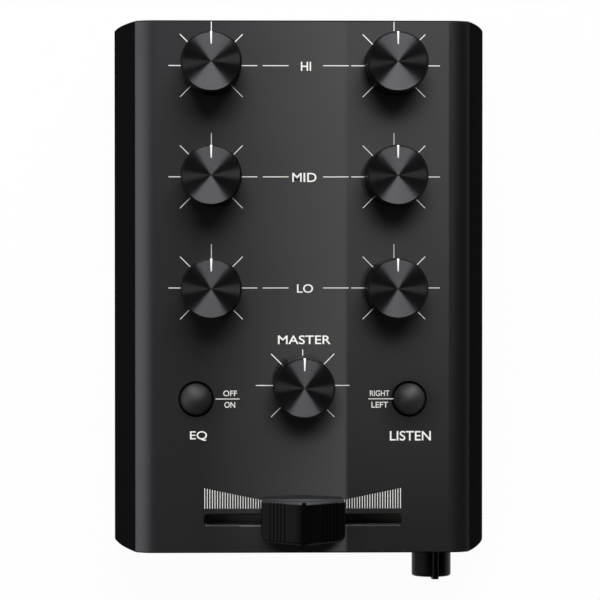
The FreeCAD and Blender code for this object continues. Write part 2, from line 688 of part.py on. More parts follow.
def cap_grooves():
    """Index groove along the ridge and grip grooves down both slopes."""
    slope = math.radians(CAP_SLOPE)
    ridge = PANEL_TOP + CAP_RIDGE
    virtual_ridge = ridge + CAP_RIDGE_RADIUS * (1 / math.cos(slope) - 1)
    half_width = CAP_GROOVE_WIDTH / 2
    cuts = [centred_block(half_width, CAP_DEPTH, ridge - CAP_GROOVE_DEPTH, ridge + CUT_PAST, 0.0, FADER_Y)]
    rib = centred_block(CAP_RIB_WIDTH / 2, CAP_DEPTH, -CAP_RIB_DEPTH, CUT_PAST)
    for side in (-1, 1):
        leaning = rib.rotated(Vector(0, 0, 0), Vector(0, 1, 0), side * CAP_SLOPE)
        for i in range(CAP_RIB_COUNT):
            x = CAP_RIB_START + i * CAP_RIB_PITCH
            cuts.append(at(leaning, side * x, FADER_Y, virtual_ridge - x * math.tan(slope)))
    return cuts


def crossfader_cap():
    """Gabled cap with a bowed front, pushed on the lever."""
    cap = cap_gable().common(cap_plan())
    low = PANEL_TOP + CAP_GAP
    above_foot = [e for e in cap.Edges if e.BoundBox.ZMin > low + CAP_EDGE]
    top_rim = [e for e in above_foot if e.BoundBox.ZLength < CAP_RIDGE / 2]
    cap = cap.makeFillet(CAP_EDGE, top_rim)
    socket = centred_block(
        LEVER_WIDTH / 2 + CAP_FIT, LEVER_THICKNESS / 2 + CAP_FIT, low - CUT_PAST, LEVER_TOP, 0.0, FADER_Y
    )
    return cap.cut(cap_grooves() + [socket])


def push_button():
    """Domed button cap with a square socket for the plunger."""
    rim, crown = PANEL_TOP + BUTTON_RIM, PANEL_TOP + BUTTON_CROWN
    rise = crown - rim
    dome_radius = (BUTTON_RADIUS ** 2 + rise ** 2) / (2 * rise)
    half_turn = math.asin(BUTTON_RADIUS / dome_radius) / 2
    midway = Vector(
        dome_radius * math.sin(half_turn), 0, crown - dome_radius * (1 - math.cos(half_turn))
    )
    foot_centre, foot_rim = Vector(0, 0, BUTTON_LOW), Vector(BUTTON_RADIUS, 0, BUTTON_LOW)
    shoulder, summit = Vector(BUTTON_RADIUS, 0, rim), Vector(0, 0, crown)
    edges = [
        Part.LineSegment(foot_centre, foot_rim),
        Part.LineSegment(foot_rim, shoulder),
        Part.Arc(shoulder, midway, summit),
        Part.LineSegment(summit, foot_centre),
    ]
    face = Part.Face(Part.Wire([edge.toShape() for edge in edges]))
    cap = face.revolve(Vector(0, 0, 0), Vector(0, 0, 1), 360)
    half = PLUNGER_SIZE / 2 + BUTTON_FIT
    return cap.cut(centred_block(half, half, BUTTON_LOW - CUT_PAST, PLUNGER_TOP))


def push_switch():
    """Latching switch body with a square well for the plunger and its spring."""
    body = centred_block(SWITCH_SIZE / 2, SWITCH_SIZE / 2, BOARD_TOP, SWITCH_TOP)
    body = body.makeChamfer(SWITCH_CORNER, upright_edges(body))
    half = PLUNGER_SIZE / 2 + PLUNGER_GAP
    return body.cut(centred_block(half, half, WELL_FLOOR, SWITCH_TOP + CUT_PAST))


def switch_plunger():
    """Square stem between the spring and the button."""
    return centred_block(PLUNGER_SIZE / 2, PLUNGER_SIZE / 2, PLUNGER_LOW, PLUNGER_TOP)


def spring_point(turn, low, rise):
    """Point of the spring's centre line after so many turns."""
    angle = 2 * math.pi * turn
    return Vector(SPRING_RADIUS * math.cos(angle), SPRING_RADIUS * math.sin(angle), low + rise * turn)


def biarc(start, end, start_way, end_way):
    """Two arcs that join two points and keep the given directions."""
    gap, ways = end - start, start_way + end_way
    bend = 2 * (1 - start_way.dot(end_way))
    along = gap.dot(ways)
    arm = (math.sqrt(along ** 2 + bend * gap.dot(gap)) - along) / bend
    first, second = start + start_way * arm, end - end_way * arm
    join = (first + second) * 0.5
    arcs = []
    for a, corner, b in ((start, first, join), (join, second, end)):
        middle = (a + b) * 0.5
        weight = (a - middle).Length / arm
        arcs.append(Part.Arc(a, (middle + corner * weight) * (1 / (1 + weight)), b).toShape())
    return arcs


def switch_spring():
    """Coiled return spring between the switch's floor and the plunger."""
    low = WELL_FLOOR + SPRING_WIRE_RADIUS + SPRING_END_GAP
    high = PLUNGER_LOW - SPRING_WIRE_RADIUS - SPRING_END_GAP
    rise = (high - low) / SPRING_TURNS
    quarters = round(4 * SPRING_TURNS)
    points = [spring_point(i * SPRING_TURNS / quarters, low, rise) for i in range(quarters + 1)]
    ways = []
    for p in points:
        way = Vector(-p.y * 2 * math.pi, p.x * 2 * math.pi, rise)
        ways.append(way.normalize())
    arcs = []
    for i in range(quarters):
        arcs += biarc(points[i], points[i + 1], ways[i], ways[i + 1])
    ring = Part.Wire([Part.Circle(points[0], ways[0], SPRING_WIRE_RADIUS).toShape()])
    sweep = Part.BRepOffsetAPI.MakePipeShell(Part.Wire(arcs))
    sweep.add(ring)
    sweep.build()
    sweep.makeSolid()
    print("spring: least gap between turns %.2f mm" % (rise - 2 * SPRING_WIRE_RADIUS))
    return sweep.shape()


def jack():
    """Rear socket for a 3.5 mm plug, hung under the board, at x = 0."""
    low, high = SOCKET_Z - JACK_BELOW_AXIS, BOARD_BOTTOM
    body = block(-JACK_WIDTH / 2, JACK_WIDTH / 2, PANEL_SEAT - JACK_LENGTH, PANEL_SEAT, low, high)
    along = [e for e in body.Edges if e.BoundBox.YLength > JACK_LENGTH / 2 and e.BoundBox.ZMax < SOCKET_Z]
    body = body.makeChamfer(JACK_CORNER, along)
    mouth = Vector(0, JACK_NOSE_END, SOCKET_Z)
    nose = rod(JACK_NOSE_RADIUS, Vector(0, PANEL_SEAT, SOCKET_Z), mouth)
    bore = rod(JACK_BORE_RADIUS, mouth - Vector(0, JACK_BORE_DEPTH, 0), mouth)
    return body.fuse(nose).cut(bore)


def jack_nut():
    """Round notched nut on a socket's nose, against the rear panel, at x = 0."""
    face = Vector(0, PANEL_FACE, SOCKET_Z)
    top = face + Vector(0, JACK_NUT_HEIGHT, 0)
    nut = rod(JACK_NUT_RADIUS, face, top).cut(rod(JACK_NOSE_RADIUS + THREAD_GAP, face, top))
    half = JACK_NUT_NOTCH_WIDTH / 2
    floor = top.y - JACK_NUT_NOTCH_DEPTH
    notch = block(-half, half, floor, top.y + CUT_PAST, SOCKET_Z, SOCKET_Z + 2 * JACK_NUT_RADIUS)
    turns = [360 * i / JACK_NUT_NOTCHES for i in range(JACK_NUT_NOTCHES)]
    return nut.cut([notch.rotated(face, Vector(0, 1, 0), turn) for turn in turns])


def jack_nuts():
    """One nut on each socket."""
    rear = [at(jack_nut(), x, 0.0) for x in rear_jack_places().values()]
    return rear + [at(turned(jack_nut(), 180), HEADPHONE_JACK_X, 0.0)]


def headphone_pot():
    """Small potentiometer under the board, with a collar through the front panel."""
    low, high = SOCKET_Z - PHONES_POT_BELOW_AXIS, BOARD_BOTTOM
    half = PHONES_POT_WIDTH / 2
    body = block(PHONES_X - half, PHONES_X + half, -PANEL_SEAT, PHONES_POT_DEPTH - PANEL_SEAT, low, high)
    axis = Vector(PHONES_X, -PANEL_SEAT, SOCKET_Z)
    collar = rod(PHONES_COLLAR_RADIUS, axis, axis - Vector(0, PANEL_THICKNESS, 0))
    deep = axis + Vector(0, PHONES_POT_DEPTH - PHONES_SHAFT_INSET + RUNNING_GAP, 0)
    bore = rod(PHONES_SHAFT_RADIUS + RUNNING_GAP, deep, axis - Vector(0, PANEL_THICKNESS + CUT_PAST, 0))
    return body.fuse(collar).cut(bore)


def phones_rod(radius, y0, y1):
    """Cylinder on the headphone volume's axis."""
    return rod(radius, Vector(PHONES_X, y0, SOCKET_Z), Vector(PHONES_X, y1, SOCKET_Z))


def phones_flatted(radius, y0, y1):
    """Bar on the headphone volume's axis, with a flat on its lower side."""
    bar = phones_rod(radius, y0, y1)
    flat_z = SOCKET_Z - PHONES_SHAFT_RADIUS + PHONES_SHAFT_FLAT
    near, far = sorted((y0, y1))
    low, reach = SOCKET_Z - 2 * radius, 2 * radius
    return bar.cut(block(PHONES_X - reach, PHONES_X + reach, near, far, low, flat_z))


def headphone_shaft():
    """Shaft of the headphone volume, flatted inside its knob."""
    deep = PHONES_POT_DEPTH - PHONES_SHAFT_INSET - PANEL_SEAT
    tip = PHONES_SHAFT_SEAT - PHONES_KNOB_END
    bar = phones_rod(PHONES_SHAFT_RADIUS, deep, -PANEL_FACE)
    return bar.fuse(phones_flatted(PHONES_SHAFT_RADIUS, -PANEL_FACE, tip)).removeSplitter()


def headphone_knob():
    """Small knob with a raised pointer rib that runs past its end."""
    base = -PANEL_FACE - PHONES_KNOB_GAP
    end = -PHONES_KNOB_END
    body = phones_rod(PHONES_KNOB_RADIUS, base, end)
    rim = [e for e in body.Edges if e.BoundBox.YMax < end + 1e-6]
    body = body.makeFillet(PHONES_KNOB_EDGE, rim)
    half = PHONES_RIB_WIDTH / 2
    tip = end - PHONES_RIB_REACH
    low = SOCKET_Z + PHONES_SHAFT_RADIUS + PHONES_RIB_HEIGHT
    high = SOCKET_Z + PHONES_KNOB_RADIUS + PHONES_RIB_HEIGHT
    rib = prism([
        Vector(PHONES_X - half, base, low),
        Vector(PHONES_X + half, base, low),
        Vector(PHONES_X + half, end, low),
        Vector(PHONES_X + half - PHONES_RIB_TAPER, tip, low),
        Vector(PHONES_X - half + PHONES_RIB_TAPER, tip, low),
        Vector(PHONES_X - half, end, low),
    ], Vector(0, 0, high - low))
    long_edges = [e for e in level_edges(rib, high) if e.BoundBox.XLength < 1e-6]
    rib = rib.makeFillet(PHONES_RIB_EDGE, long_edges)
    axis = Vector(PHONES_X, 0, SOCKET_Z)
    rib = rib.rotated(axis, Vector(0, 1, 0), PHONES_RIB_ANGLE)
    bore = phones_flatted(PHONES_SHAFT_RADIUS + KNOB_FIT, base + CUT_PAST, end + PHONES_SHAFT_SEAT)
    return body.fuse(rib).removeSplitter().cut(bore)


def network_places():
    """Places of the tone network's parts, one for each tone control."""
    return [(side * NETWORK_X, y - NETWORK_DROP) for y in EQ_ROWS.values() for side in (-1, 1)]


def eq_capacitors():
    """Film capacitors under the board."""
    half_x, half_y = CAPACITOR_LENGTH / 2, CAPACITOR_WIDTH / 2
    box = centred_block(half_x, half_y, BOARD_BOTTOM - CAPACITOR_HEIGHT, BOARD_BOTTOM)
    box = box.makeChamfer(CAPACITOR_EDGE, level_edges(box, BOARD_BOTTOM - CAPACITOR_HEIGHT))
    return [at(box, x, y) for x, y in network_places()]


def resistor():
    """Axial resistor with swollen ends, lying along X under the board."""
    half = RESISTOR_LENGTH / 2
    z = BOARD_BOTTOM - RESISTOR_RADIUS - SEAT_GAP
    body = rod(RESISTOR_WAIST, Vector(-half, 0, z), Vector(half, 0, z))
    cap = rod(RESISTOR_RADIUS, Vector(half - RESISTOR_CAP, 0, z), Vector(half, 0, z))
    return body.fuse([cap, turned(cap, 180)]).removeSplitter()


def eq_resistors():
    """Two resistors in front of each capacitor."""
    first = CAPACITOR_WIDTH / 2 + RESISTOR_PITCH
    return [at(resistor(), x, y - first - i * RESISTOR_PITCH) for x, y in network_places() for i in range(2)]


def all_parts():
    """Every piece of the mixer by name: one solid, or a list of alike solids."""
    places = pot_places()
    parts = {
        "top_cover": top_cover(),
        "base_plate": base_plate(),
        "front_panel": front_panel(),
        "rear_panel": rear_panel(),
        "feet": four_corners(foot(), FOOT_X, FOOT_Y),
        "base_screws": four_corners(base_screw(), SCREW_X, BASE_SCREW_Y),
        "panel_screws": panel_screws(),
        "main_board": main_board(),
        "pot_washers": [at(pot_washer(), x, y) for x, y in places.values()],
        "pot_nuts": [at(pot_nut(), x, y) for x, y in places.values()],
        "crossfader_frame": crossfader_frame(),
        "crossfader_rails": fader_rails(RAIL_RADIUS),
        "crossfader_track": crossfader_track(),
        "crossfader_slider": crossfader_slider(),
        "crossfader_wiper": crossfader_wiper(),
        "crossfader_cap": crossfader_cap(),
        "headphone_jack": at(turned(jack(), 180), HEADPHONE_JACK_X, 0.0),
        "jack_nuts": jack_nuts(),
        "headphone_pot": headphone_pot(),
        "headphone_shaft": headphone_shaft(),
        "headphone_knob": headphone_knob(),
        "eq_capacitors": eq_capacitors(),
        "eq_resistors": eq_resistors(),
    }
    for name, (x, y) in places.items():
        parts[name + "_pot"] = at(potentiometer(), x, y)
        parts[name + "_shaft"] = at(pot_shaft(), x, y)
        parts[name + "_knob"] = at(knob(), x, y)
    for name, x in rear_jack_places().items():
        parts[name] = at(jack(), x, 0.0)
    for name, x in (("eq", -BUTTON_X), ("listen", BUTTON_X)):
        parts[name + "_switch"] = at(push_switch(), x, BUTTON_Y)
        parts[name + "_plunger"] = at(switch_plunger(), x, BUTTON_Y)
        parts[name + "_spring"] = at(switch_spring(), x, BUTTON_Y)
        parts[name + "_button"] = at(push_button(), x, BUTTON_Y)
    return parts


def write_parts(parts):
    """Write each piece to its own file, moved to the mixer's own origin."""
    os.makedirs("parts", exist_ok=True)
    for name, piece in parts.items():
        solids = piece if isinstance(piece, list) else [piece]
        shape = Part.makeCompound(solids) if len(solids) > 1 else solids[0]
        shape.translated(ORIGIN_SHIFT).exportStep("parts/%s.step" % name)


write_parts(all_parts())
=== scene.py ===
"""Looks, stage and camera of a pocket DJ mixer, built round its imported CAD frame.

Everything is in metres in the frame's own axes: +X right, +Y towards the rear sockets, +Z up, feet on z = 0.
Sizes are written in millimetres, and MM turns them to metres.
"""
import json
import logging
import math
from collections.abc import Callable, Iterable, Iterator
from contextlib import contextmanager
from dataclasses import dataclass, replace
from enum import Enum
from typing import Any, Optional

import bmesh
import bpy
from mathutils import Matrix, Vector

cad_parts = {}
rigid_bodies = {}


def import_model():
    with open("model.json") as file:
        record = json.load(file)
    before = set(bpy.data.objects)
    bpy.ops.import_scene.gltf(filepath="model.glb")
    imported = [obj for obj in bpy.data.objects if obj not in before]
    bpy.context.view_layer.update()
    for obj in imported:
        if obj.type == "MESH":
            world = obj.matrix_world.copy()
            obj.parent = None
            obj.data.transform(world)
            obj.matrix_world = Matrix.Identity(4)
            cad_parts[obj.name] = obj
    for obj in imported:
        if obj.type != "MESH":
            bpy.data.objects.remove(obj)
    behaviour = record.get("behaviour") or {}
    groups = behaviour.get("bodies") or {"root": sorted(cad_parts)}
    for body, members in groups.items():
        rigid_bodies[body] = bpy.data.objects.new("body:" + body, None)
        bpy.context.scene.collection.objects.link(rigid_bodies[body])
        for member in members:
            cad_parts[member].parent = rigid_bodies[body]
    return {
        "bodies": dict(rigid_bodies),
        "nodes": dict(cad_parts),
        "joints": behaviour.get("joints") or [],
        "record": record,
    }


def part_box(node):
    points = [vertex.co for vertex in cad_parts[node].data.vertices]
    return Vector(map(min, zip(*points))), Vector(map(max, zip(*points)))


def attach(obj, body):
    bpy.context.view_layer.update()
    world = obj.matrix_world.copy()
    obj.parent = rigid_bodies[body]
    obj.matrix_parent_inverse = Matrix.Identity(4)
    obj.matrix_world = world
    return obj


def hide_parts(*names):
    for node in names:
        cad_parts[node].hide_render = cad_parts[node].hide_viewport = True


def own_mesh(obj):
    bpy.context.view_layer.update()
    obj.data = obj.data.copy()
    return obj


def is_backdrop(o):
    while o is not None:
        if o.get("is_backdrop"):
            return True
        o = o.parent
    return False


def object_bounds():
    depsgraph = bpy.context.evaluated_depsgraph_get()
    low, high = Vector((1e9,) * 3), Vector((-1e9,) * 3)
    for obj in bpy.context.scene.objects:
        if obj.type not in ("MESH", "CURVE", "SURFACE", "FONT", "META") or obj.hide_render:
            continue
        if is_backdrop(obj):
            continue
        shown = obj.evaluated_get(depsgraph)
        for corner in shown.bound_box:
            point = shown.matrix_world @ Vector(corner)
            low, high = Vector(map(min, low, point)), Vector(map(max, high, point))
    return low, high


LOG = logging.getLogger("pocket_mixer")
MM = 0.001
CASE_BODY = "case"
GRAIN_DETAIL = 3.0
# The Mix node's colour sockets go by number, because its level sockets come first under the same names.
MIX_COLOUR_A = 6
MIX_COLOUR_B = 7
MIX_COLOUR_RESULT = 2
TONE_ROWS = ("hi", "mid", "lo")
SIDES = ("left", "right")
BUTTONS = ("eq", "listen")
PANEL_CONTROLS = tuple(f"{row}_{side}" for row in TONE_ROWS for side in SIDES) + ("master",)


def linear(hex_colour: str) -> tuple[float, float, float, float]:
    """Turn an sRGB hex colour to linear light.

    Args:
        hex_colour: six hex digits.

    Returns:
        Linear red, green and blue, with an alpha of 1.
    """
    levels = [int(hex_colour[i:i + 2], 16) / 255 for i in (0, 2, 4)]
    red, green, blue = (v / 12.92 if v <= 0.04045 else ((v + 0.055) / 1.055) ** 2.4 for v in levels)
    return red, green, blue, 1.0


def add_node(
    tree: bpy.types.NodeTree, kind: str, inputs: Optional[dict[Any, Any]] = None, **settings: Any
) -> bpy.types.Node:
    """Add a node with its settings, values and links.

    Args:
        tree: the node tree to add to.
        kind: the node's Blender type.
        inputs: for each input socket, by name or number, a value or the output socket that feeds it.
        settings: the node's own properties.

    Returns:
        The new node.
    """
    node = tree.nodes.new(kind)
    for name, value in settings.items():
        setattr(node, name, value)
    for key, value in (inputs or {}).items():
        if isinstance(value, bpy.types.NodeSocket):
            tree.links.new(value, node.inputs[key])
        else:
            node.inputs[key].default_value = value
    return node


def fresh_material(name: str) -> tuple[bpy.types.Material, bpy.types.NodeTree]:
    """Make an empty node material.

    Args:
        name: the material's name.

    Returns:
        The material and its node tree.
    """
    material = bpy.data.materials.new(name)
    material.use_nodes = True
    material.node_tree.nodes.clear()
    return material, material.node_tree


def fade(
    tree: bpy.types.NodeTree, vector: bpy.types.NodeSocket, axis: str, span: tuple[float, float],
    levels: tuple[float, float] = (0.0, 1.0), about: Optional[float] = None,
) -> bpy.types.NodeSocket:
    """Add a level that runs along one axis over a span, and stays as it is before and after it.

    Args:
        tree: the node tree to add to.
        vector: the place or normal that the level follows.
        axis: X, Y or Z.
        span: where the run starts and ends.
        levels: the level at its start and at its end.
        about: where the span is counted from to both sides, if it is.

    Returns:
        The level socket.
    """
    value = add_node(tree, "ShaderNodeSeparateXYZ", {"Vector": vector}).outputs[axis]
    if about is not None:
        offset = add_node(tree, "ShaderNodeMath", {0: value, 1: about}, operation="SUBTRACT")
        away = add_node(tree, "ShaderNodeMath", {0: offset.outputs["Value"]}, operation="ABSOLUTE")
        value = away.outputs["Value"]
    run = add_node(tree, "ShaderNodeMapRange", {
        "Value": value, "From Min": span[0], "From Max": span[1], "To Min": levels[0], "To Max": levels[1],
    })
    return run.outputs["Result"]


class Grain(Enum):
    """How a surface was made, as the stretch of its marks along X, Y and Z."""

    EVEN = (1.0, 1.0, 1.0)
    ALONG_X = (0.04, 1.0, 1.0)


@dataclass(frozen=True)
class Finish:
    """One real surface: what it is made of, how it was made and what that gives the eye."""

    name: str
    colour: str
    roughness: float
    grain_mm: float
    metallic: float = 0.0
    ior: float = 1.5
    grain: Grain = Grain.EVEN
    relief_mm: float = 0.004
    colour_spread: float = 0.15
    roughness_spread: float = 0.06
    gloss: float = 0.5

    def grain_height(self, tree: bpy.types.NodeTree) -> bpy.types.NodeSocket:
        """Add the noise that the surface's marks come from.

        Args:
            tree: the material's node tree.

        Returns:
            The noise's height socket.
        """
        place = add_node(tree, "ShaderNodeTexCoord")
        stretch = add_node(
            tree, "ShaderNodeMapping", {"Vector": place.outputs["Object"], "Scale": self.grain.value}
        )
        noise = add_node(tree, "ShaderNodeTexNoise", {
            "Vector": stretch.outputs["Vector"],
            "Scale": 1 / (self.grain_mm * MM),
            "Detail": GRAIN_DETAIL,
        })
        return noise.outputs["Fac"]

    def varied_colour(self, tree: bpy.types.NodeTree, height: bpy.types.NodeSocket) -> bpy.types.NodeSocket:
        """Add the colour, a little lighter and darker with the grain.

        Args:
            tree: the material's node tree.
            height: the grain's height.

        Returns:
            The colour socket.
        """
        base = linear(self.colour)
        dark = [c * (1 - self.colour_spread) for c in base[:3]] + [1.0]
        light = [min(1.0, c * (1 + self.colour_spread)) for c in base[:3]] + [1.0]
        mix = add_node(tree, "ShaderNodeMix", {
            "Factor": height, MIX_COLOUR_A: dark, MIX_COLOUR_B: light,
        }, data_type="RGBA")
        return mix.outputs[MIX_COLOUR_RESULT]

    def shader(self, tree: bpy.types.NodeTree) -> bpy.types.Node:
        """Add the surface's shader with its colour, roughness and relief.

        Args:
            tree: the material's node tree.

        Returns:
            The shader node.
        """
        height = self.grain_height(tree)
        rough = add_node(tree, "ShaderNodeMapRange", {
            "Value": height,
            "To Min": self.roughness - self.roughness_spread,
            "To Max": self.roughness + self.roughness_spread,
        })
        bump = add_node(tree, "ShaderNodeBump", {"Height": height, "Distance": self.relief_mm * MM})
        shader = add_node(tree, "ShaderNodeBsdfPrincipled", {
            "Base Color": self.varied_colour(tree, height),
            "Roughness": rough.outputs["Result"],
            "Normal": bump.outputs["Normal"],
            "Metallic": self.metallic,
        })
        if self.metallic == 0.0:
            shader.inputs["IOR"].default_value = self.ior
            shader.inputs["Specular IOR Level"].default_value = self.gloss
        return shader

    def on(self, node: str) -> "Finish":
        """Finish as a CAD node wears it: the same on every node."""
        return self

    def material(self) -> bpy.types.Material:
        """Build the finish as a material.

        Returns:
            The material.
        """
        material, tree = fresh_material(self.name)
        shader = self.shader(tree)
        add_node(tree, "ShaderNodeOutputMaterial", {"Surface": shader.outputs["BSDF"]})
        return material


@dataclass(frozen=True)
class ShadowPatch:
    """A painted shadow in front of a control: the film is taken away there, so the panel mirrors less and
    reads dark.

    Its middle lies offset_mm in front of the control. The film is gone up to inner_mm from there, and whole
    from outer_mm on. A squeeze under 1 makes the patch that much wider across.
    """

    inner_mm: float
    outer_mm: float
    offset_mm: float
    squeeze: float = 1.0


@dataclass(frozen=True)
class SealedAnodising(Finish):
    """Black anodising under a clear film: polished metal on top, and sides and end edges painted dark and
    dull as shade.
    """

    # The sides and end edges take this colour and metal: a painted shade, darker and duller than the top.
    side_shade_colour: str = "111112"
    side_metallic: float = 0.02
    side_normal: tuple[float, float] = (0.45, 0.65)
    end_normal: tuple[float, float] = (0.1, 0.3)
    film_index: float = 1.8
    film_roughness: float = 0.015
    film_depth_mm: tuple[float, float] = (0.1, 0.01)
    film_slant: tuple[float, float] = (0.1, 0.35)
    film_at_slant: float = 0.15
    side_film: float = 0.7
    side_film_slant: tuple[float, float] = (0.45, 0.75)
    pit_mm: float = 0.12
    pit_depth_mm: float = 0.012
    slot_edge_mm: tuple[float, float] = (2.5, 3.5)
    slot_polish: float = 0.55
    # Painted shadows in front of the knobs, buttons and fader cap, where the film is taken away.
    knob_shadow: ShadowPatch = ShadowPatch(4.0, 9.0, 4.0)
    button_shadow: ShadowPatch = ShadowPatch(3.5, 7.5, 1.6)
    cap_shadow: ShadowPatch = ShadowPatch(3.2, 4.3, 3.6, squeeze=0.5)

    def painted_shadows(self, tree: bpy.types.NodeTree, place: bpy.types.NodeSocket) -> bpy.types.NodeSocket:
        """Add the painted shadow in front of each control, where the film is taken away so that the panel
        reads dark.

        Args:
            tree: the material's node tree.
            place: the object coordinates.

        Returns:
            How much film is left, from 0 to 1.
        """
        shadow_patches = {f"{control}_knob": self.knob_shadow for control in PANEL_CONTROLS}
        shadow_patches.update({f"{name}_button": self.button_shadow for name in BUTTONS})
        shadow_patches["crossfader_cap"] = self.cap_shadow
        left = 1.0
        for node, patch in shadow_patches.items():
            axis = middle(node)
            spot = (axis.x * patch.squeeze, axis.y - patch.offset_mm * MM, panel_top())
            narrow = add_node(
                tree, "ShaderNodeVectorMath", {0: place, 1: (patch.squeeze, 1.0, 1.0)}, operation="MULTIPLY"
            )
            away = add_node(
                tree, "ShaderNodeVectorMath", {0: narrow.outputs["Vector"], 1: spot}, operation="DISTANCE"
            )
            kept = add_node(tree, "ShaderNodeMapRange", {
                "Value": away.outputs["Value"],
                "From Min": patch.inner_mm * MM,
                "From Max": patch.outer_mm * MM,
            }, interpolation_type="SMOOTHSTEP")
            both = add_node(
                tree, "ShaderNodeMath", {0: left, 1: kept.outputs["Result"]}, operation="MULTIPLY"
            )
            left = both.outputs["Value"]
        return left

    def polish_vs_painted_shade(
        self, tree: bpy.types.NodeTree, place: bpy.types.NodeSocket, normal: bpy.types.NodeSocket
    ) -> bpy.types.NodeSocket:
        """Add where the metal is polished: on top and partly on the slot's edges. Sides and ends are painted
        dark as shade.

        Args:
            tree: the material's node tree.
            place: the object coordinates.
            normal: the surface's normal.

        Returns:
            A level from 0, painted shade, to 1, polished.
        """
        upward = fade(tree, normal, "Z", self.side_normal)
        clear = fade(tree, normal, "Y", self.end_normal, (1.0, 0.0), about=0.0)
        near, far = self.slot_edge_mm
        slot_y = middle("crossfader_rails").y
        slot = fade(tree, place, "Y", (near * MM, far * MM), (self.slot_polish, 0.0), about=slot_y)
        either = add_node(tree, "ShaderNodeMath", {0: clear, 1: slot}, operation="MAXIMUM")
        polish_vs_painted_shade = add_node(
            tree, "ShaderNodeMath", {0: upward, 1: either.outputs["Value"]}, operation="MULTIPLY"
        )
        return polish_vs_painted_shade.outputs["Value"]

    def pitted(
        self, tree: bpy.types.NodeTree, place: bpy.types.NodeSocket, sides: bpy.types.NodeSocket
    ) -> bpy.types.NodeSocket:
        """Add the film's normal, pitted on the sides where it follows the blasted metal.

        Args:
            tree: the material's node tree.
            place: the object coordinates.
            sides: where the metal was left as blasted.

        Returns:
            The normal socket.
        """
        pits = add_node(tree, "ShaderNodeTexNoise", {"Vector": place, "Scale": 1 / (self.pit_mm * MM)})
        bump = add_node(tree, "ShaderNodeBump", {
            "Strength": sides, "Height": pits.outputs["Fac"], "Distance": self.pit_depth_mm * MM,
        })
        return bump.outputs["Normal"]

    def at_slant(
        self, tree: bpy.types.NodeTree, cover: bpy.types.NodeSocket, slant: tuple[float, float],
        gloss: tuple[float, float],
    ) -> bpy.types.NodeSocket:
        """Add a stretch of film whose gloss changes as it is seen at more of a slant.

        Args:
            tree: the material's node tree.
            cover: where the film is.
            slant: the slants where the change starts and ends.
            gloss: the gloss at its start and at its end.

        Returns:
            The film's weight there.
        """
        seen = add_node(tree, "ShaderNodeLayerWeight")
        level = add_node(tree, "ShaderNodeMapRange", {
            "Value": seen.outputs["Facing"],
            "From Min": slant[0],
            "From Max": slant[1],
            "To Min": gloss[0],
            "To Max": gloss[1],
        })
        weight = add_node(
            tree, "ShaderNodeMath", {0: cover, 1: level.outputs["Result"]}, operation="MULTIPLY"
        )
        return weight.outputs["Value"]

    def film(
        self, tree: bpy.types.NodeTree, place: bpy.types.NodeSocket, sides: bpy.types.NodeSocket
    ) -> bpy.types.NodeSocket:
        """Add the film's gloss: on the flat panel and on the sides, less where it is seen at a slant.

        Args:
            tree: the material's node tree.
            place: the object coordinates.
            sides: where the metal was left as blasted.

        Returns:
            The film's weight.
        """
        low, high = (panel_top() - depth * MM for depth in self.film_depth_mm)
        flat = fade(tree, place, "Z", (low, high))
        # The painted shadows take the film away in front of the controls.
        panel = add_node(
            tree, "ShaderNodeMath", {0: flat, 1: self.painted_shadows(tree, place)}, operation="MULTIPLY"
        )
        on_panel = self.at_slant(tree, panel.outputs["Value"], self.film_slant, (1.0, self.film_at_slant))
        on_sides = self.at_slant(tree, sides, self.side_film_slant, (self.side_film, 0.0))
        film = add_node(tree, "ShaderNodeMath", {0: on_panel, 1: on_sides}, operation="MAXIMUM")
        return film.outputs["Value"]

    def shader(self, tree: bpy.types.NodeTree) -> bpy.types.Node:
        """Add the polished top and the sides painted dark and dull as shade, both under the film.

        Args:
            tree: the material's node tree.

        Returns:
            The shader node.
        """
        shader = super().shader(tree)
        place = add_node(tree, "ShaderNodeTexCoord")
        polish_vs_painted_shade = self.polish_vs_painted_shade(tree, place.outputs["Object"], place.outputs["Normal"])
        # Where the level is low, on the sides and ends, the metal is painted dark and dull as shade.
        metal = add_node(tree, "ShaderNodeMapRange", {
            "Value": polish_vs_painted_shade, "To Min": self.side_metallic, "To Max": self.metallic,
        })
        tree.links.new(metal.outputs["Result"], shader.inputs["Metallic"])
        top_colour = shader.inputs["Base Color"].links[0].from_socket
        colour = add_node(tree, "ShaderNodeMix", {
            "Factor": polish_vs_painted_shade, MIX_COLOUR_A: linear(self.side_shade_colour), MIX_COLOUR_B: top_colour,
        }, data_type="RGBA")
        tree.links.new(colour.outputs[MIX_COLOUR_RESULT], shader.inputs["Base Color"])
        shader.inputs["Specular IOR Level"].default_value = 0.0
        shader.inputs["Specular Tint"].default_value = linear("000000")
        sides = fade(tree, place.outputs["Normal"], "Z", self.side_normal, (1.0, 0.0))
        tree.links.new(self.film(tree, place.outputs["Object"], sides), shader.inputs["Coat Weight"])
        tree.links.new(self.pitted(tree, place.outputs["Object"], sides), shader.inputs["Coat Normal"])
        shader.inputs["Coat Roughness"].default_value = self.film_roughness
        shader.inputs["Coat IOR"].default_value = self.film_index
        return shader


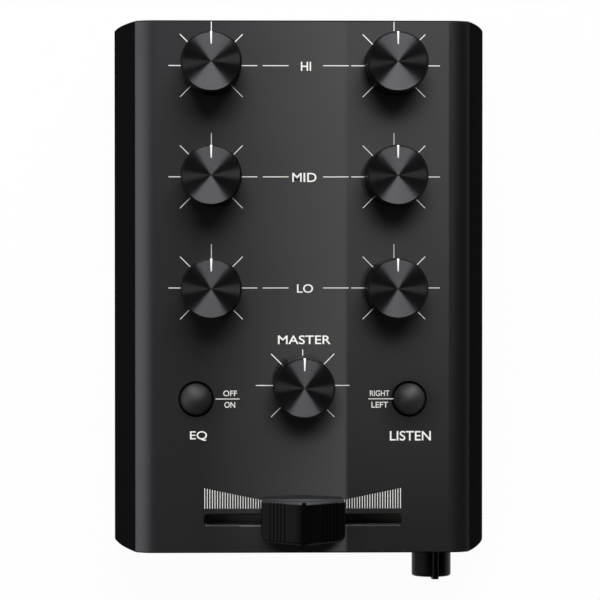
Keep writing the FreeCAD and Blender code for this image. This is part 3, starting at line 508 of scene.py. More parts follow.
@dataclass(frozen=True)
class TurnedMetal(Finish):
    """Metal faced on a lathe: its circular tool marks draw light out into wedges from the middle."""

    axis: tuple[float, float] = (0.0, 0.0)
    anisotropy: float = 1.0
    turn: float = 0.25
    dish_degrees: float = 1.2
    slant_tint: float = 0.4
    body_colour: str = "0d0d0e"
    top_normal: tuple[float, float] = (0.9, 0.97)

    def on(self, node: str) -> "Finish":
        """Finish as a CAD node wears it: centred on the node's own axis."""
        centre = middle(node)
        return replace(self, name=f"{self.name}_{node}", axis=(centre.x, centre.y))

    def outward(self, tree: bpy.types.NodeTree) -> bpy.types.NodeSocket:
        """Add the level vector from the piece's own axis, in metres.

        Args:
            tree: the material's node tree.

        Returns:
            The vector socket.
        """
        place = add_node(tree, "ShaderNodeTexCoord")
        level = add_node(tree, "ShaderNodeMapping", {
            "Vector": place.outputs["Object"],
            "Location": (-self.axis[0], -self.axis[1], 0.0),
            "Scale": (1.0, 1.0, 0.0),
        })
        return level.outputs["Vector"]

    def radius(self, tree: bpy.types.NodeTree) -> bpy.types.NodeSocket:
        """Add the distance from the piece's own axis, in metres.

        Args:
            tree: the material's node tree.

        Returns:
            The distance socket.
        """
        length = add_node(tree, "ShaderNodeVectorMath", {0: self.outward(tree)}, operation="LENGTH")
        return length.outputs["Value"]

    def grain_height(self, tree: bpy.types.NodeTree) -> bpy.types.NodeSocket:
        """Add the tool marks as rings about the piece's own axis.

        Args:
            tree: the material's node tree.

        Returns:
            The rings' height socket.
        """
        rings = add_node(tree, "ShaderNodeTexNoise", {
            "W": self.radius(tree),
            "Scale": 1 / (self.grain_mm * MM),
            "Detail": GRAIN_DETAIL,
        }, noise_dimensions="1D")
        return rings.outputs["Fac"]

    def shader(self, tree: bpy.types.NodeTree) -> bpy.types.Node:
        """Add the faced top with its highlight stretched across the tool marks, and the dark body.

        Args:
            tree: the material's node tree.

        Returns:
            The shader node.
        """
        shader = super().shader(tree)
        upward = (0.0, 0.0, 1.0)
        marks_along = add_node(
            tree, "ShaderNodeVectorMath", {0: upward, 1: self.outward(tree)}, operation="CROSS_PRODUCT"
        )
        around = add_node(
            tree, "ShaderNodeVectorTransform", {"Vector": marks_along.outputs["Vector"]},
            vector_type="VECTOR", convert_from="OBJECT", convert_to="WORLD",
        )
        tree.links.new(around.outputs["Vector"], shader.inputs["Tangent"])
        dish = add_node(tree, "ShaderNodeBump", {
            "Height": self.radius(tree), "Distance": math.tan(math.radians(self.dish_degrees)),
        })
        marks = shader.inputs["Normal"].links[0].from_node
        tree.links.new(dish.outputs["Normal"], marks.inputs["Normal"])
        shader.inputs["Anisotropic"].default_value = self.anisotropy
        shader.inputs["Anisotropic Rotation"].default_value = self.turn
        place = add_node(tree, "ShaderNodeTexCoord")
        faced = fade(tree, place.outputs["Normal"], "Z", self.top_normal)
        tree.links.new(faced, shader.inputs["Metallic"])
        top_colour = shader.inputs["Base Color"].links[0].from_socket
        colour = add_node(tree, "ShaderNodeMix", {
            "Factor": faced, MIX_COLOUR_A: linear(self.body_colour), MIX_COLOUR_B: top_colour,
        }, data_type="RGBA")
        tree.links.new(colour.outputs[MIX_COLOUR_RESULT], shader.inputs["Base Color"])
        tint = self.slant_tint
        shader.inputs["Specular IOR Level"].default_value = self.gloss
        shader.inputs["Specular Tint"].default_value = (tint, tint, tint, 1.0)
        return shader


@dataclass(frozen=True)
class PaintedHighlightPlastic(Finish):
    """Moulded plastic with rough sides, and a painted highlight on its rear face, lightest in the middle and
    at the foot.
    """

    highlight_colour: str = "5c5d5f"
    rear_normal: tuple[float, float] = (0.2, 0.55)
    across_mm: tuple[float, float] = (1.0, 8.0)
    ends_kept: float = 0.35
    height_mm: tuple[float, float] = (32.5, 38.0)
    top_kept: float = 0.45
    steep_normal: tuple[float, float] = (0.3, 0.7)
    steep_roughness: float = 1.0

    def varied_colour(self, tree: bpy.types.NodeTree, height: bpy.types.NodeSocket) -> bpy.types.NodeSocket:
        """Add the colour, with a painted highlight on the rear face.

        Args:
            tree: the material's node tree.
            height: the grain's height.

        Returns:
            The colour socket.
        """
        plain = super().varied_colour(tree, height)
        surface = add_node(tree, "ShaderNodeTexCoord")
        place, normal = surface.outputs["Object"], surface.outputs["Normal"]
        rear = fade(tree, normal, "Y", self.rear_normal)
        near, far = self.across_mm
        across = fade(tree, place, "X", (near * MM, far * MM), (1.0, self.ends_kept), about=0.0)
        foot, top = self.height_mm
        upward = fade(tree, place, "Z", (foot * MM, top * MM), (1.0, self.top_kept))
        spread = add_node(tree, "ShaderNodeMath", {0: across, 1: upward}, operation="MULTIPLY")
        # Painted highlight: the rear face is made lighter, most in the middle and at the foot.
        painted_highlight = add_node(
            tree, "ShaderNodeMath", {0: rear, 1: spread.outputs["Value"]}, operation="MULTIPLY"
        )
        mix = add_node(tree, "ShaderNodeMix", {
            "Factor": painted_highlight.outputs["Value"], MIX_COLOUR_A: plain, MIX_COLOUR_B: linear(self.highlight_colour),
        }, data_type="RGBA")
        return mix.outputs[MIX_COLOUR_RESULT]

    def shader(self, tree: bpy.types.NodeTree) -> bpy.types.Node:
        """Add the shader, with the steep sides left as rough as the mould.

        Args:
            tree: the material's node tree.

        Returns:
            The shader node.
        """
        shader = super().shader(tree)
        place = add_node(tree, "ShaderNodeTexCoord")
        steep = fade(tree, place.outputs["Normal"], "Z", self.steep_normal, (1.0, 0.0))
        smooth = shader.inputs["Roughness"].links[0].from_socket
        rough = add_node(tree, "ShaderNodeMix", {"Factor": steep, "A": smooth, "B": self.steep_roughness})
        tree.links.new(rough.outputs["Result"], shader.inputs["Roughness"])
        return shader


# In all the finishes, marks too fine for a render are drawn coarser, at 0.12 to 0.6 mm, so that they show.

# Bead-blasted, black dyed and sealed aluminium: a fine grey sparkle on top, and sides painted dull black as
# shade.
# The blast pits are about 0.05 mm. They are drawn at 0.35 mm in the metal and 0.12 mm in the film, to show.
HOOD_FINISH = SealedAnodising(
    "anodised_aluminium_hood", "454547", 0.38, 0.35, metallic=1.0, relief_mm=0.002, colour_spread=0.10,
    roughness_spread=0.03,
)
# Folded and anodised sheet, matter than the hood, with faint rolling marks along its length.
PLATE_FINISH = Finish(
    "anodised_aluminium_plates", "2c2c2e", 0.5, 0.4, metallic=0.6, grain=Grain.ALONG_X, relief_mm=0.003
)
# Faced and dyed aluminium: lathe marks of about 0.1 mm, drawn at 0.3 mm, with a highlight across them.
KNOB_FINISH = TurnedMetal(
    "turned_aluminium_knobs", "58585a", 0.25, 0.3, metallic=1.0, relief_mm=0.0004, colour_spread=0.1,
    roughness_spread=0.02, gloss=0.1,
)
# Moulded ABS with a light spark-eroded texture of about 0.1 mm, drawn at 0.3 mm. It gives the buttons a
# soft shine, and the cap and the headphone knob hardly any.
BUTTON_FINISH = Finish("moulded_abs_buttons", "060607", 0.6, 0.3, relief_mm=0.004, gloss=0.72)
# The fader cap's rear face carries a painted highlight.
CAP_FINISH = PaintedHighlightPlastic("moulded_abs_fader_cap", "040405", 0.35, 0.3, relief_mm=0.004, gloss=0.065)
PHONES_FINISH = Finish("moulded_abs_headphone_knob", "050506", 0.35, 0.3, relief_mm=0.004, gloss=0.08)
# Pressed rubber: dark, matt and a little uneven.
RUBBER_FINISH = Finish("pressed_rubber_feet", "1a1a1a", 0.85, 0.5, ior=1.52, relief_mm=0.02)
# Black zinc on steel: a dark grey metal with a dull shine.
SCREW_FINISH = Finish("black_zinc_screws", "38383a", 0.4, 0.25, metallic=1.0, relief_mm=0.003)
# Screen ink: thick white pigment, matt, with the mesh's unevenness of about 0.1 mm drawn at 0.3 mm.
INK_FINISH = Finish("screen_ink_white", "f2f2ee", 0.6, 0.3, relief_mm=0.002, colour_spread=0.05)
# Paint wiped into a groove: white, and less matt than the ink.
PAINT_FINISH = Finish("pointer_paint_white", "f6f6f2", 0.45, 0.3, relief_mm=0.002, colour_spread=0.04)
# Solder mask over a glass-fibre board: the weave of about 0.5 mm shows through.
BOARD_FINISH = Finish("solder_mask_board", "1d5c35", 0.35, 0.5, relief_mm=0.01, colour_spread=0.3)
# Tinned sheet steel: pale grey with a soft shine.
TINNED_FINISH = Finish("tinned_steel_housings", "b4b4b0", 0.38, 0.3, metallic=1.0, relief_mm=0.003)
# Plain turned aluminium: light grey, with fine marks and a clear shine.
SHAFT_FINISH = Finish(
    "plain_turned_aluminium", "d2d2d2", 0.3, 0.2, metallic=1.0, grain=Grain.ALONG_X, relief_mm=0.002
)
# Plated nickel: warm grey and bright.
NICKEL_FINISH = Finish(
    "plated_nickel", "c9c5bc", 0.25, 0.4, metallic=1.0, relief_mm=0.002, colour_spread=0.05
)
# Bright zinc on rolled steel: bluish grey, with marks along the sheet.
ZINC_FINISH = Finish("bright_zinc_steel", "c0c3c6", 0.35, 0.6, metallic=1.0, grain=Grain.ALONG_X)
# Carbon track: matt brownish grey, in streaks along the travel.
TRACK_FINISH = Finish("carbon_track", "77726b", 0.6, 0.4, grain=Grain.ALONG_X, colour_spread=0.25)
# Black acetal: dark grey, smooth and a little waxy.
ACETAL_FINISH = Finish("acetal_slider", "303030", 0.4, 0.4)
# Phosphor bronze strip: a warm yellow metal, with marks along the strip.
CONTACT_FINISH = Finish("phosphor_bronze_contact", "d6a25e", 0.28, 0.3, metallic=1.0, grain=Grain.ALONG_X)
# Moulded switch body: near black, with an even, dull shine.
SWITCH_FINISH = Finish("moulded_switch_housing", "2a2a2b", 0.45, 0.3)
# Natural acetal: off-white, smooth and a little waxy.
PLUNGER_FINISH = Finish("acetal_plunger", "dedcd2", 0.4, 0.4, colour_spread=0.05)
# Drawn spring wire: a bright steel with hardly any marks.
WIRE_FINISH = Finish("drawn_spring_wire", "c4c4c4", 0.3, 0.15, metallic=1.0, relief_mm=0.001)
# Moulded socket body: near black, with an even, dull shine.
SOCKET_FINISH = Finish("moulded_socket", "1c1c1c", 0.42, 0.3)
# Epoxy over a film capacitor: a shiny brick red.
FILM_BOX_FINISH = Finish("epoxy_film_capacitor", "a8322a", 0.3, 0.5, colour_spread=0.1)
# Lacquered resistor: a shiny light blue.
LACQUER_FINISH = Finish("lacquered_resistor", "4c86b0", 0.3, 0.3, colour_spread=0.12)

FINISH_OF_SLOT = {
    "cover": HOOD_FINISH,
    "plates": PLATE_FINISH,
    "feet": RUBBER_FINISH,
    "screws": SCREW_FINISH,
    "knobs": KNOB_FINISH,
    "headphone_knob": PHONES_FINISH,
    "buttons": BUTTON_FINISH,
    "fader_cap": CAP_FINISH,
    "board": BOARD_FINISH,
    "pot_housings": TINNED_FINISH,
    "shafts": SHAFT_FINISH,
    "nickel_hardware": NICKEL_FINISH,
    "fader_steel": ZINC_FINISH,
    "fader_track": TRACK_FINISH,
    "fader_slider": ACETAL_FINISH,
    "contact_metal": CONTACT_FINISH,
    "switch_housings": SWITCH_FINISH,
    "switch_plungers": PLUNGER_FINISH,
    "springs": WIRE_FINISH,
    "sockets": SOCKET_FINISH,
    "capacitors": FILM_BOX_FINISH,
    "resistors": LACQUER_FINISH,
}


def dress(piece: bpy.types.Object, material: bpy.types.Material) -> None:
    """Give a piece one material all over."""
    piece.data.materials.clear()
    piece.data.materials.append(material)


def deselect_all() -> None:
    """Deselect every object, so that an operator acts on the next piece only."""
    bpy.ops.object.select_all(action="DESELECT")


def choose(pieces: Iterable[bpy.types.Object]) -> None:
    """Select these pieces alone, with the first of them active.

    Args:
        pieces: the pieces to select.
    """
    deselect_all()
    chosen = list(pieces)
    for piece in chosen:
        piece.select_set(True)
    bpy.context.view_layer.objects.active = chosen[0]


@contextmanager
def editing(piece: bpy.types.Object) -> Iterator[None]:
    """Edit one piece's mesh with all of it selected.

    Args:
        piece: the mesh object.
    """
    choose([piece])
    bpy.ops.object.mode_set(mode="EDIT")
    bpy.ops.mesh.select_all(action="SELECT")
    yield
    bpy.ops.object.mode_set(mode="OBJECT")


def select_points(piece: bpy.types.Object, wanted: Callable[[Vector], bool]) -> None:
    """Select points of a mesh that is being edited, by their place.

    Args:
        piece: the mesh object.
        wanted: says of a point's place whether it is selected.
    """
    mesh = bmesh.from_edit_mesh(piece.data)
    for face in mesh.faces:
        face.select_set(False)
    for point in mesh.verts:
        point.select_set(wanted(point.co))
    mesh.select_flush(True)
    bmesh.update_edit_mesh(piece.data)


def copy_of(piece: bpy.types.Object, place: Matrix, name: str) -> bpy.types.Object:
    """Copy a piece with a mesh of its own, moved in its mesh.

    Args:
        piece: the piece to copy.
        place: the move.
        name: the copy's name.

    Returns:
        The copy.
    """
    copy = piece.copy()
    copy.data = piece.data.copy()
    copy.name = name
    copy.data.transform(place)
    bpy.context.scene.collection.objects.link(copy)
    return copy


def joined(pieces: list[bpy.types.Object], name: str) -> bpy.types.Object:
    """Join pieces to one object.

    Args:
        pieces: the pieces, all at the origin.
        name: the joined object's name.

    Returns:
        The joined object.
    """
    choose(pieces)
    bpy.ops.object.join()
    whole = bpy.context.view_layer.objects.active
    whole.name = name
    return whole


def discard(piece: bpy.types.Object) -> None:
    """Remove a pattern piece that only its copies stand for."""
    bpy.data.objects.remove(piece)


def middle(node: str) -> Vector:
    """Middle of a CAD node's box."""
    low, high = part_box(node)
    return (low + high) / 2


def panel_top() -> float:
    """Height of the flat panel."""
    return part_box("top_cover")[1].z


@dataclass(frozen=True)
class Word:
    """One printed word: its text, and its middle, width and height on the panel in millimetres."""

    text: str
    x_mm: float
    y_mm: float
    width_mm: float
    height_mm: float


@dataclass(frozen=True)
class Rosette:
    """How far the scale marks round a knob reach from its axis, in millimetres."""

    slanting_mm: float = 8.85
    left_mm: float = 8.55
    right_mm: float = 9.2
    top_mm: float = 8.8

    def reaches(self) -> dict[int, float]:
        """Work out how far each mark reaches.

        Returns:
            The reach in millimetres by the mark's direction, in degrees anticlockwise from the rear.
        """
        reaches = {turn: self.slanting_mm for turn in (-135, -45, 45, 135)}
        reaches.update({0: self.top_mm, 90: self.left_mm, -90: self.right_mm})
        return reaches


@dataclass
class ScreenPrint:
    """White ink on the hood: scale marks, row lines, the crossfader's comb and plain words."""

    ink_mm: float = 0.03
    line_mm: float = 0.17
    tooth_mm: float = 0.13
    mark_start_mm: float = 5.3
    corner_mm: float = 0.05
    corner_segments: int = 2
    row_left_mm: tuple[float, float] = (-7.98, -2.83)
    row_right_mm: tuple[float, float] = (4.09, 9.2)
    legend_left_mm: tuple[float, float] = (-17.44, -12.61)
    legend_right_mm: tuple[float, float] = (13.11, 18.23)
    comb_pitch_mm: float = 0.511
    comb_half_mm: float = 19.6
    comb_height_mm: float = 4.08
    comb_rise_mm: float = 2.24
    comb_least_mm: float = 0.3
    letter_weight: float = 0.009
    tone_scale: Rosette = Rosette()
    master_scale: Rosette = Rosette(slanting_mm=8.95, left_mm=9.4, right_mm=9.4, top_mm=7.2)
    words: tuple[Word, ...] = (
        Word("HI", 0.65, 47.03, 2.03, 1.78),
        Word("MID", 0.33, 24.84, 4.83, 1.82),
        Word("LO", 0.46, 2.64, 3.21, 1.72),
        Word("MASTER", 0.32, -7.62, 10.55, 1.76),
        Word("EQ", -20.84, -26.86, 3.39, 1.94),
        Word("LISTEN", 21.57, -26.86, 8.22, 1.94),
        Word("OFF", -14.51, -18.33, 2.75, 1.14),
        Word("ON", -14.59, -20.63, 2.15, 1.16),
        Word("RIGHT", 15.41, -18.33, 3.91, 1.14),
        Word("LEFT", 15.44, -20.63, 3.33, 1.16),
    )

    def bar(self, width_mm: float) -> bpy.types.Object:
        """Model one printed bar, 1 mm long from the origin towards +Y, with clipped corners.

        Args:
            width_mm: the bar's width.

        Returns:
            The pattern bar.
        """
        deselect_all()
        bpy.ops.mesh.primitive_plane_add(size=1.0, location=(0, 0, 0))
        bar = bpy.context.object
        with editing(bar):
            bpy.ops.transform.resize(value=(width_mm * MM, MM, 1.0))
            bpy.ops.transform.translate(value=(0, MM / 2, panel_top()))
            bpy.ops.mesh.bevel(
                offset=self.corner_mm * MM, affect="VERTICES", segments=self.corner_segments
            )
            bpy.ops.mesh.extrude_region_move(TRANSFORM_OT_translate={"value": (0, 0, self.ink_mm * MM)})
            bpy.ops.mesh.select_all(action="SELECT")
            bpy.ops.mesh.normals_make_consistent(inside=False)
        return bar

    def line(self, bar: bpy.types.Object, start: Vector, turn: float, length: float) -> bpy.types.Object:
        """Copy the bar to a place on the panel.

        Args:
            bar: the pattern bar.
            start: where it starts, in metres.
            turn: its direction, in degrees anticlockwise from the rear.
            length: its length in metres.

        Returns:
            The copy.
        """
        copy = copy_of(bar, Matrix.Identity(4), "print_line")
        for point in copy.data.vertices:
            if point.co.y > MM / 2:
                point.co.y += length - MM
        place = Matrix.Translation((start.x, start.y, 0)) @ Matrix.Rotation(math.radians(turn), 4, "Z")
        copy.data.transform(place)
        return copy

    def scale_marks(self, bar: bpy.types.Object) -> bpy.types.Object:
        """Print the seven marks round each panel knob.

        Args:
            bar: the pattern bar.

        Returns:
            All the marks as one piece.
        """
        marks = []
        for control in PANEL_CONTROLS:
            axis = middle(f"{control}_knob")
            rosette = self.master_scale if control == "master" else self.tone_scale
            for turn, reach in rosette.reaches().items():
                away = Matrix.Rotation(math.radians(turn), 3, "Z") @ Vector((0, 1, 0))
                start = axis + away * self.mark_start_mm * MM
                marks.append(self.line(bar, start, turn, (reach - self.mark_start_mm) * MM))
        return joined(marks, "print_scale_marks")

    def level_lines(self, bar: bpy.types.Object) -> bpy.types.Object:
        """Print the lines beside the row names and beside the buttons.

        Args:
            bar: the pattern bar.

        Returns:
            All the lines as one piece.
        """
        spans = [(middle(f"{row}_left_knob").y, span) for row in TONE_ROWS
                 for span in (self.row_left_mm, self.row_right_mm)]
        spans.append((middle("eq_button").y, self.legend_left_mm))
        spans.append((middle("listen_button").y, self.legend_right_mm))
        lines = []
        for y, (x0, x1) in spans:
            lines.append(self.line(bar, Vector((x0 * MM, y, 0)), -90, (x1 - x0) * MM))
        return joined(lines, "print_level_lines")

    def comb(self, tooth: bpy.types.Object) -> bpy.types.Object:
        """Print the comb of lines behind the crossfader, tallest at both ends.

        Args:
            tooth: the pattern bar of the comb.

        Returns:
            The comb as one piece.
        """
        foot = middle("crossfader_rails").y + self.comb_rise_mm * MM
        teeth = []
        count = int(self.comb_half_mm / self.comb_pitch_mm)
        for side in (-1, 1):
            for i in range(count):
                x_mm = self.comb_half_mm - i * self.comb_pitch_mm
                height = max(self.comb_least_mm, self.comb_height_mm * x_mm / self.comb_half_mm)
                teeth.append(self.line(tooth, Vector((side * x_mm * MM, foot, 0)), 0, height * MM))
        return joined(teeth, "print_fader_comb")

    def lettering(self) -> bpy.types.Object:
        """Print the plain words.

        Returns:
            All the words as one piece.
        """
        letters = []
        for word in self.words:
            deselect_all()
            bpy.ops.object.text_add(location=(0, 0, 0))
            text = bpy.context.object
            text.data.body = word.text
            text.data.offset = self.letter_weight
            text.data.extrude = self.ink_mm * MM / 2
            choose([text])
            bpy.ops.object.convert(target="MESH")
            letter = bpy.context.object
            xs = [point.co.x for point in letter.data.vertices]
            ys = [point.co.y for point in letter.data.vertices]
            across, up = max(xs) - min(xs), max(ys) - min(ys)
            centre = Vector(((max(xs) + min(xs)) / 2, (max(ys) + min(ys)) / 2, 0))
            fit = Matrix.Diagonal((word.width_mm * MM / across, word.height_mm * MM / up, 1, 1))
            height = panel_top() + self.ink_mm * MM / 2
            place = Matrix.Translation((word.x_mm * MM, word.y_mm * MM, height))
            letter.data.transform(place @ fit @ Matrix.Translation(-centre))
            letters.append(letter)
        return joined(letters, "print_words")

    def build(self) -> list[bpy.types.Object]:
        """Build, dress and seat the whole print.

        Returns:
            The printed pieces.
        """
        bar, tooth = self.bar(self.line_mm), self.bar(self.tooth_mm)
        pieces = [self.scale_marks(bar), self.level_lines(bar), self.comb(tooth), self.lettering()]
        discard(bar)
        discard(tooth)
        ink = INK_FINISH.material()
        for piece in pieces:
            dress(piece, ink)
            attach(piece, CASE_BODY)
        return pieces


@dataclass
class KnobPointers:
    """White paint in the pointer groove of each panel knob."""

    start_mm: float = 3.41
    end_mm: float = 6.0
    inner_width_mm: float = 0.21
    outer_width_mm: float = 0.44
    depth_mm: float = 0.28
    sink_mm: float = 0.01
    rim_mm: float = 0.4

    def pattern(self) -> bpy.types.Object:
        """Model the paint of one groove about the origin, its top at z = 0.

        Returns:
            The pattern pointer.
        """
        deselect_all()
        bpy.ops.mesh.primitive_cube_add(size=1.0, location=(0, 0, 0))
        paint = bpy.context.object
        length = (self.end_mm - self.start_mm) * MM
        with editing(paint):
            bpy.ops.transform.resize(value=(self.inner_width_mm * MM, length, self.depth_mm * MM))
            bpy.ops.transform.translate(
                value=(0, self.start_mm * MM + length / 2, -(self.depth_mm / 2 + self.sink_mm) * MM)
            )
            halfway = self.start_mm * MM + length / 2
            select_points(paint, lambda place: place.y > halfway)
            bpy.ops.transform.resize(value=(self.outer_width_mm / self.inner_width_mm, 1, 1))
            bpy.ops.mesh.select_all(action="SELECT")
            bpy.ops.mesh.bisect(
                plane_co=(0, (self.end_mm - self.rim_mm) * MM, -self.sink_mm * MM),
                plane_no=(0, 1, 1), clear_outer=True, use_fill=True,
            )
        return paint

    def build(self) -> list[bpy.types.Object]:
        """Build, dress and seat the paint of each knob.

        Returns:
            The painted pointers.
        """
        pattern = self.pattern()
        paint = PAINT_FINISH.material()
        pieces = []
        for control in PANEL_CONTROLS:
            node = f"{control}_knob"
            axis = middle(node)
            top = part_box(node)[1].z
            piece = copy_of(pattern, Matrix.Translation((axis.x, axis.y, top)), f"{control}_pointer")
            dress(piece, paint)
            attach(piece, f"{control}_control")
            pieces.append(piece)
        discard(pattern)
        return pieces


@dataclass
class ReturnSprings:
    """Wire springs under the two buttons, copied from the CAD springs."""

    frame: dict[str, Any]

    def shorten(self, node: str, joint: dict[str, Any]) -> bpy.types.Object:
        """Stand a copy of a CAD spring in for it, on the joint's parent body.

        Args:
            node: the CAD spring.
            joint: the record's joint that presses it.

        Returns:
            The spring.
        """
        spring = bpy.data.objects.new(f"{node}_wire", self.frame["nodes"][node].data.copy())
        bpy.context.scene.collection.objects.link(spring)
        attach(spring, joint["parent"])
        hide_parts(node)
        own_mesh(spring)
        return spring

    def build(self) -> list[bpy.types.Object]:
        """Build the springs of all the joints that press one.

        Returns:
            The springs.
        """
        return [
            self.shorten(spring["node"], joint)
            for joint in self.frame["record"]["behaviour"]["joints"]
            for spring in joint.get("deforming_nodes", [])
        ]


@dataclass(frozen=True)
class TentPanel:
    """One glowing panel of a light tent: the part of the sky that it fills, and how bright it is."""

    name: str
    toward_degrees: float
    half_width_degrees: float
    zenith_degrees: tuple[float, float]
    radiance: float
    distance_mm: float = 2900.0
    divisions: int = 12

    def hang(self) -> bpy.types.Object:
        """Add the panel, curved round the mixer.

        Returns:
            The panel.
        """
        deselect_all()
        bpy.ops.mesh.primitive_grid_add(
            x_subdivisions=self.divisions, y_subdivisions=self.divisions, size=2.0
        )
        panel = bpy.context.object
        panel.name = self.name
        top, foot = self.zenith_degrees
        for point in panel.data.vertices:
            around = math.radians(self.toward_degrees + point.co.x * self.half_width_degrees)
            down = math.radians((top + foot) / 2 + point.co.y * (foot - top) / 2)
            level = math.sin(down)
            place = Vector((level * math.cos(around), level * math.sin(around), math.cos(down)))
            point.co = place * self.distance_mm * MM
        material, tree = fresh_material(self.name)
        glow = add_node(tree, "ShaderNodeEmission", {"Strength": self.radiance})
        add_node(tree, "ShaderNodeOutputMaterial", {"Surface": glow.outputs["Emission"]})
        dress(panel, material)
        panel.visible_camera = False
        panel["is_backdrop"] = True
        return panel


def facing(place: Vector, aim: Vector) -> Matrix:
    """Place of a camera that looks at a point with the rear of the mixer up.

    Args:
        place: where it is.
        aim: the point that it looks at.

    Returns:
        Its world matrix.
    """
    back = (place - aim).normalized()
    right = Vector((0, 1, 0)).cross(back).normalized()
    up = back.cross(right)
    turn = Matrix((right, up, back)).transposed()
    return Matrix.Translation(place) @ turn.to_4x4()


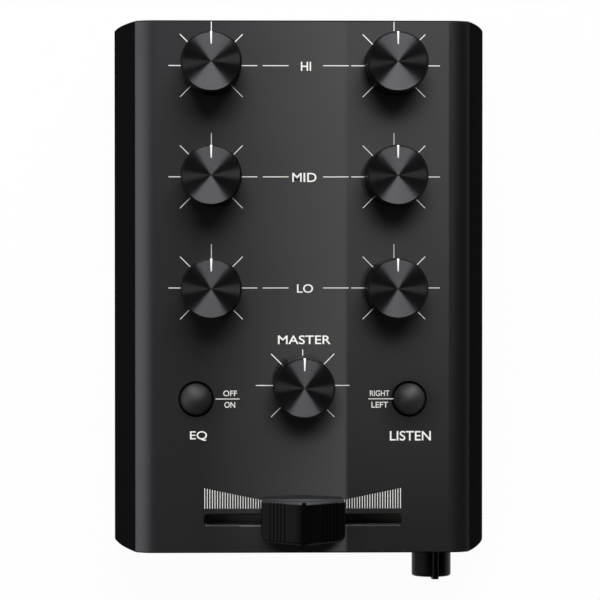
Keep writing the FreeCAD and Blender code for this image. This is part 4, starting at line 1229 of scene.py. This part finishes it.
@dataclass
class Studio:
    """White floor, light tent, mirrored card and the camera above the panel."""

    floor_mm: float = 6000.0
    floor_cuts: int = 4
    floor_colour: str = "e6e6e6"
    floor_white: float = 0.96
    world_colour: str = "ffffff"
    world_strength: float = 0.015
    camera_mm: tuple[float, float, float] = (-17.4, 10.21, 671.5)
    camera_aim_mm: tuple[float, float, float] = (-0.54, 0.34, 31.5)
    lens_mm: float = 192.1
    card_height_mm: float = 1531.5
    card_x_mm: tuple[float, float, float] = (-30.0, 70.0, 146.0)
    card_y_mm: tuple[float, float] = (-240.0, 220.0)
    card_bright: float = 0.5
    card_bend: float = 2.2
    card_bend_mm: tuple[float, float] = (-200.0, -150.0)
    card_dim: float = 0.32
    card_dim_mm: tuple[float, float] = (-180.0, 65.0)
    tent: tuple[TentPanel, ...] = (
        TentPanel("rear_high_light", 87, 35, (18, 55), 4.9),
        TentPanel("rear_low_light", 87, 35, (55, 89), 7.0),
        TentPanel("left_high_light", 180, 11, (26, 55), 2.4),
        TentPanel("left_low_light", 180, 11, (55, 89), 2.6),
        TentPanel("front_glow", 270, 70, (50, 89), 0.3),
    )

    def glow_card(self) -> bpy.types.Object:
        """Hang the glowing card that the panel's film mirrors: bright up to a sharp edge, then dim.

        Returns:
            The card.
        """
        deselect_all()
        left, edge, right = (x * MM for x in self.card_x_mm)
        front, rear = (y * MM for y in self.card_y_mm)
        bpy.ops.mesh.primitive_plane_add(size=1.0, location=(0, 0, 0))
        card = bpy.context.object
        card.name = "glow_card"
        card.data.transform(
            Matrix.Translation(((left + right) / 2, (front + rear) / 2, self.card_height_mm * MM))
            @ Matrix.Diagonal((right - left, rear - front, 1, 1))
        )
        material, tree = fresh_material("glow_card")
        place = add_node(tree, "ShaderNodeTexCoord").outputs["Object"]
        bend_front, bend_rear = (y * MM for y in self.card_bend_mm)
        bend = fade(tree, place, "Y", (bend_front, bend_rear), (self.card_bend, 1.0))
        rise = add_node(
            tree, "ShaderNodeMath", {0: fade(tree, place, "X", (left, edge)), 1: bend}, operation="POWER"
        )
        bright = add_node(
            tree, "ShaderNodeMath", {0: rise.outputs["Value"], 1: self.card_bright}, operation="MULTIPLY"
        )
        dim_front, dim_rear = (y * MM for y in self.card_dim_mm)
        dim = fade(tree, place, "Y", (dim_front, dim_rear), (0.0, self.card_dim))
        axes = add_node(tree, "ShaderNodeSeparateXYZ", {"Vector": place})
        past = add_node(tree, "ShaderNodeMath", {0: axes.outputs["X"], 1: edge}, operation="GREATER_THAN")
        level = add_node(tree, "ShaderNodeMix", {
            "Factor": past.outputs["Value"], "A": bright.outputs["Value"], "B": dim,
        })
        glow = add_node(tree, "ShaderNodeEmission", {"Strength": level.outputs["Result"]})
        add_node(tree, "ShaderNodeOutputMaterial", {"Surface": glow.outputs["Emission"]})
        dress(card, material)
        card.visible_camera = False
        card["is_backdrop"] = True
        return card

    def floor(self) -> bpy.types.Object:
        """Lay the floor: white where it is seen or mirrored, and still darker in the mixer's shadow.

        Returns:
            The floor.
        """
        deselect_all()
        bpy.ops.mesh.primitive_plane_add(size=self.floor_mm * MM, location=(0, 0, 0))
        floor = bpy.context.object
        floor.name = "floor"
        with editing(floor):
            bpy.ops.mesh.subdivide(number_cuts=self.floor_cuts)
        material, tree = fresh_material("matt_floor")
        path = add_node(tree, "ShaderNodeLightPath")
        seen = add_node(tree, "ShaderNodeMath", {
            0: path.outputs["Is Camera Ray"], 1: path.outputs["Is Glossy Ray"],
        }, operation="MAXIMUM")
        shown = add_node(tree, "ShaderNodeMath", {
            0: seen.outputs["Value"], 1: path.outputs["Is Transmission Ray"],
        }, operation="MAXIMUM")
        share = add_node(
            tree, "ShaderNodeMath", {0: shown.outputs["Value"], 1: self.floor_white}, operation="MULTIPLY"
        )
        matt = add_node(tree, "ShaderNodeBsdfDiffuse", {"Color": linear(self.floor_colour)})
        white = add_node(tree, "ShaderNodeEmission", {"Strength": 1.0})
        mix = add_node(tree, "ShaderNodeMixShader", {
            "Fac": share.outputs["Value"], 1: matt.outputs["BSDF"], 2: white.outputs["Emission"],
        })
        add_node(tree, "ShaderNodeOutputMaterial", {"Surface": mix.outputs["Shader"]})
        dress(floor, material)
        floor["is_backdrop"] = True
        return floor

    def world(self) -> None:
        """Fill the room with a dim, even light."""
        world = bpy.data.worlds.new("dim_room")
        world.use_nodes = True
        world.node_tree.nodes.clear()
        glow = add_node(world.node_tree, "ShaderNodeBackground", {
            "Color": linear(self.world_colour), "Strength": self.world_strength,
        })
        add_node(world.node_tree, "ShaderNodeOutputWorld", {"Surface": glow.outputs["Background"]})
        bpy.context.scene.world = world

    def camera(self) -> None:
        """Set the camera above the panel."""
        deselect_all()
        bpy.ops.object.camera_add()
        camera = bpy.context.object
        camera.name = "camera_above"
        camera.data.lens = self.lens_mm
        camera.matrix_world = facing(Vector(self.camera_mm) * MM, Vector(self.camera_aim_mm) * MM)
        bpy.context.scene.camera = camera

    def build(self) -> None:
        """Build the whole studio."""
        self.floor()
        self.glow_card()
        self.world()
        self.camera()
        for panel in self.tent:
            panel.hang()
        bpy.context.scene.view_settings.view_transform = "Standard"


class Mixer:
    """The whole mixer: the CAD frame in its finishes, with its print, paint and springs."""

    def __init__(self) -> None:
        """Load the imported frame."""
        self.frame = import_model()
        self.cad_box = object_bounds()

    def dress_frame(self) -> None:
        """Give each CAD node the finish of its material slot."""
        materials: dict[Finish, bpy.types.Material] = {}
        for part in self.frame["record"]["subparts"]:
            node = part["node"]
            finish = FINISH_OF_SLOT[part["material_slot"]].on(node)
            if finish not in materials:
                materials[finish] = finish.material()
            dress(self.frame["nodes"][node], materials[finish])
            LOG.info("dressed %s as %s", node, finish.name)

    def build(self) -> None:
        """Dress the frame and add the new pieces."""
        self.dress_frame()
        for piece in ScreenPrint().build() + KnobPointers().build() + ReturnSprings(self.frame).build():
            LOG.info("added %s with %d points", piece.name, len(piece.data.vertices))


def main() -> None:
    """Build the mixer and its studio."""
    logging.basicConfig(level=logging.INFO)
    mixer = Mixer()
    mixer.build()
    Studio().build()


if __name__ == "__main__":
    main()
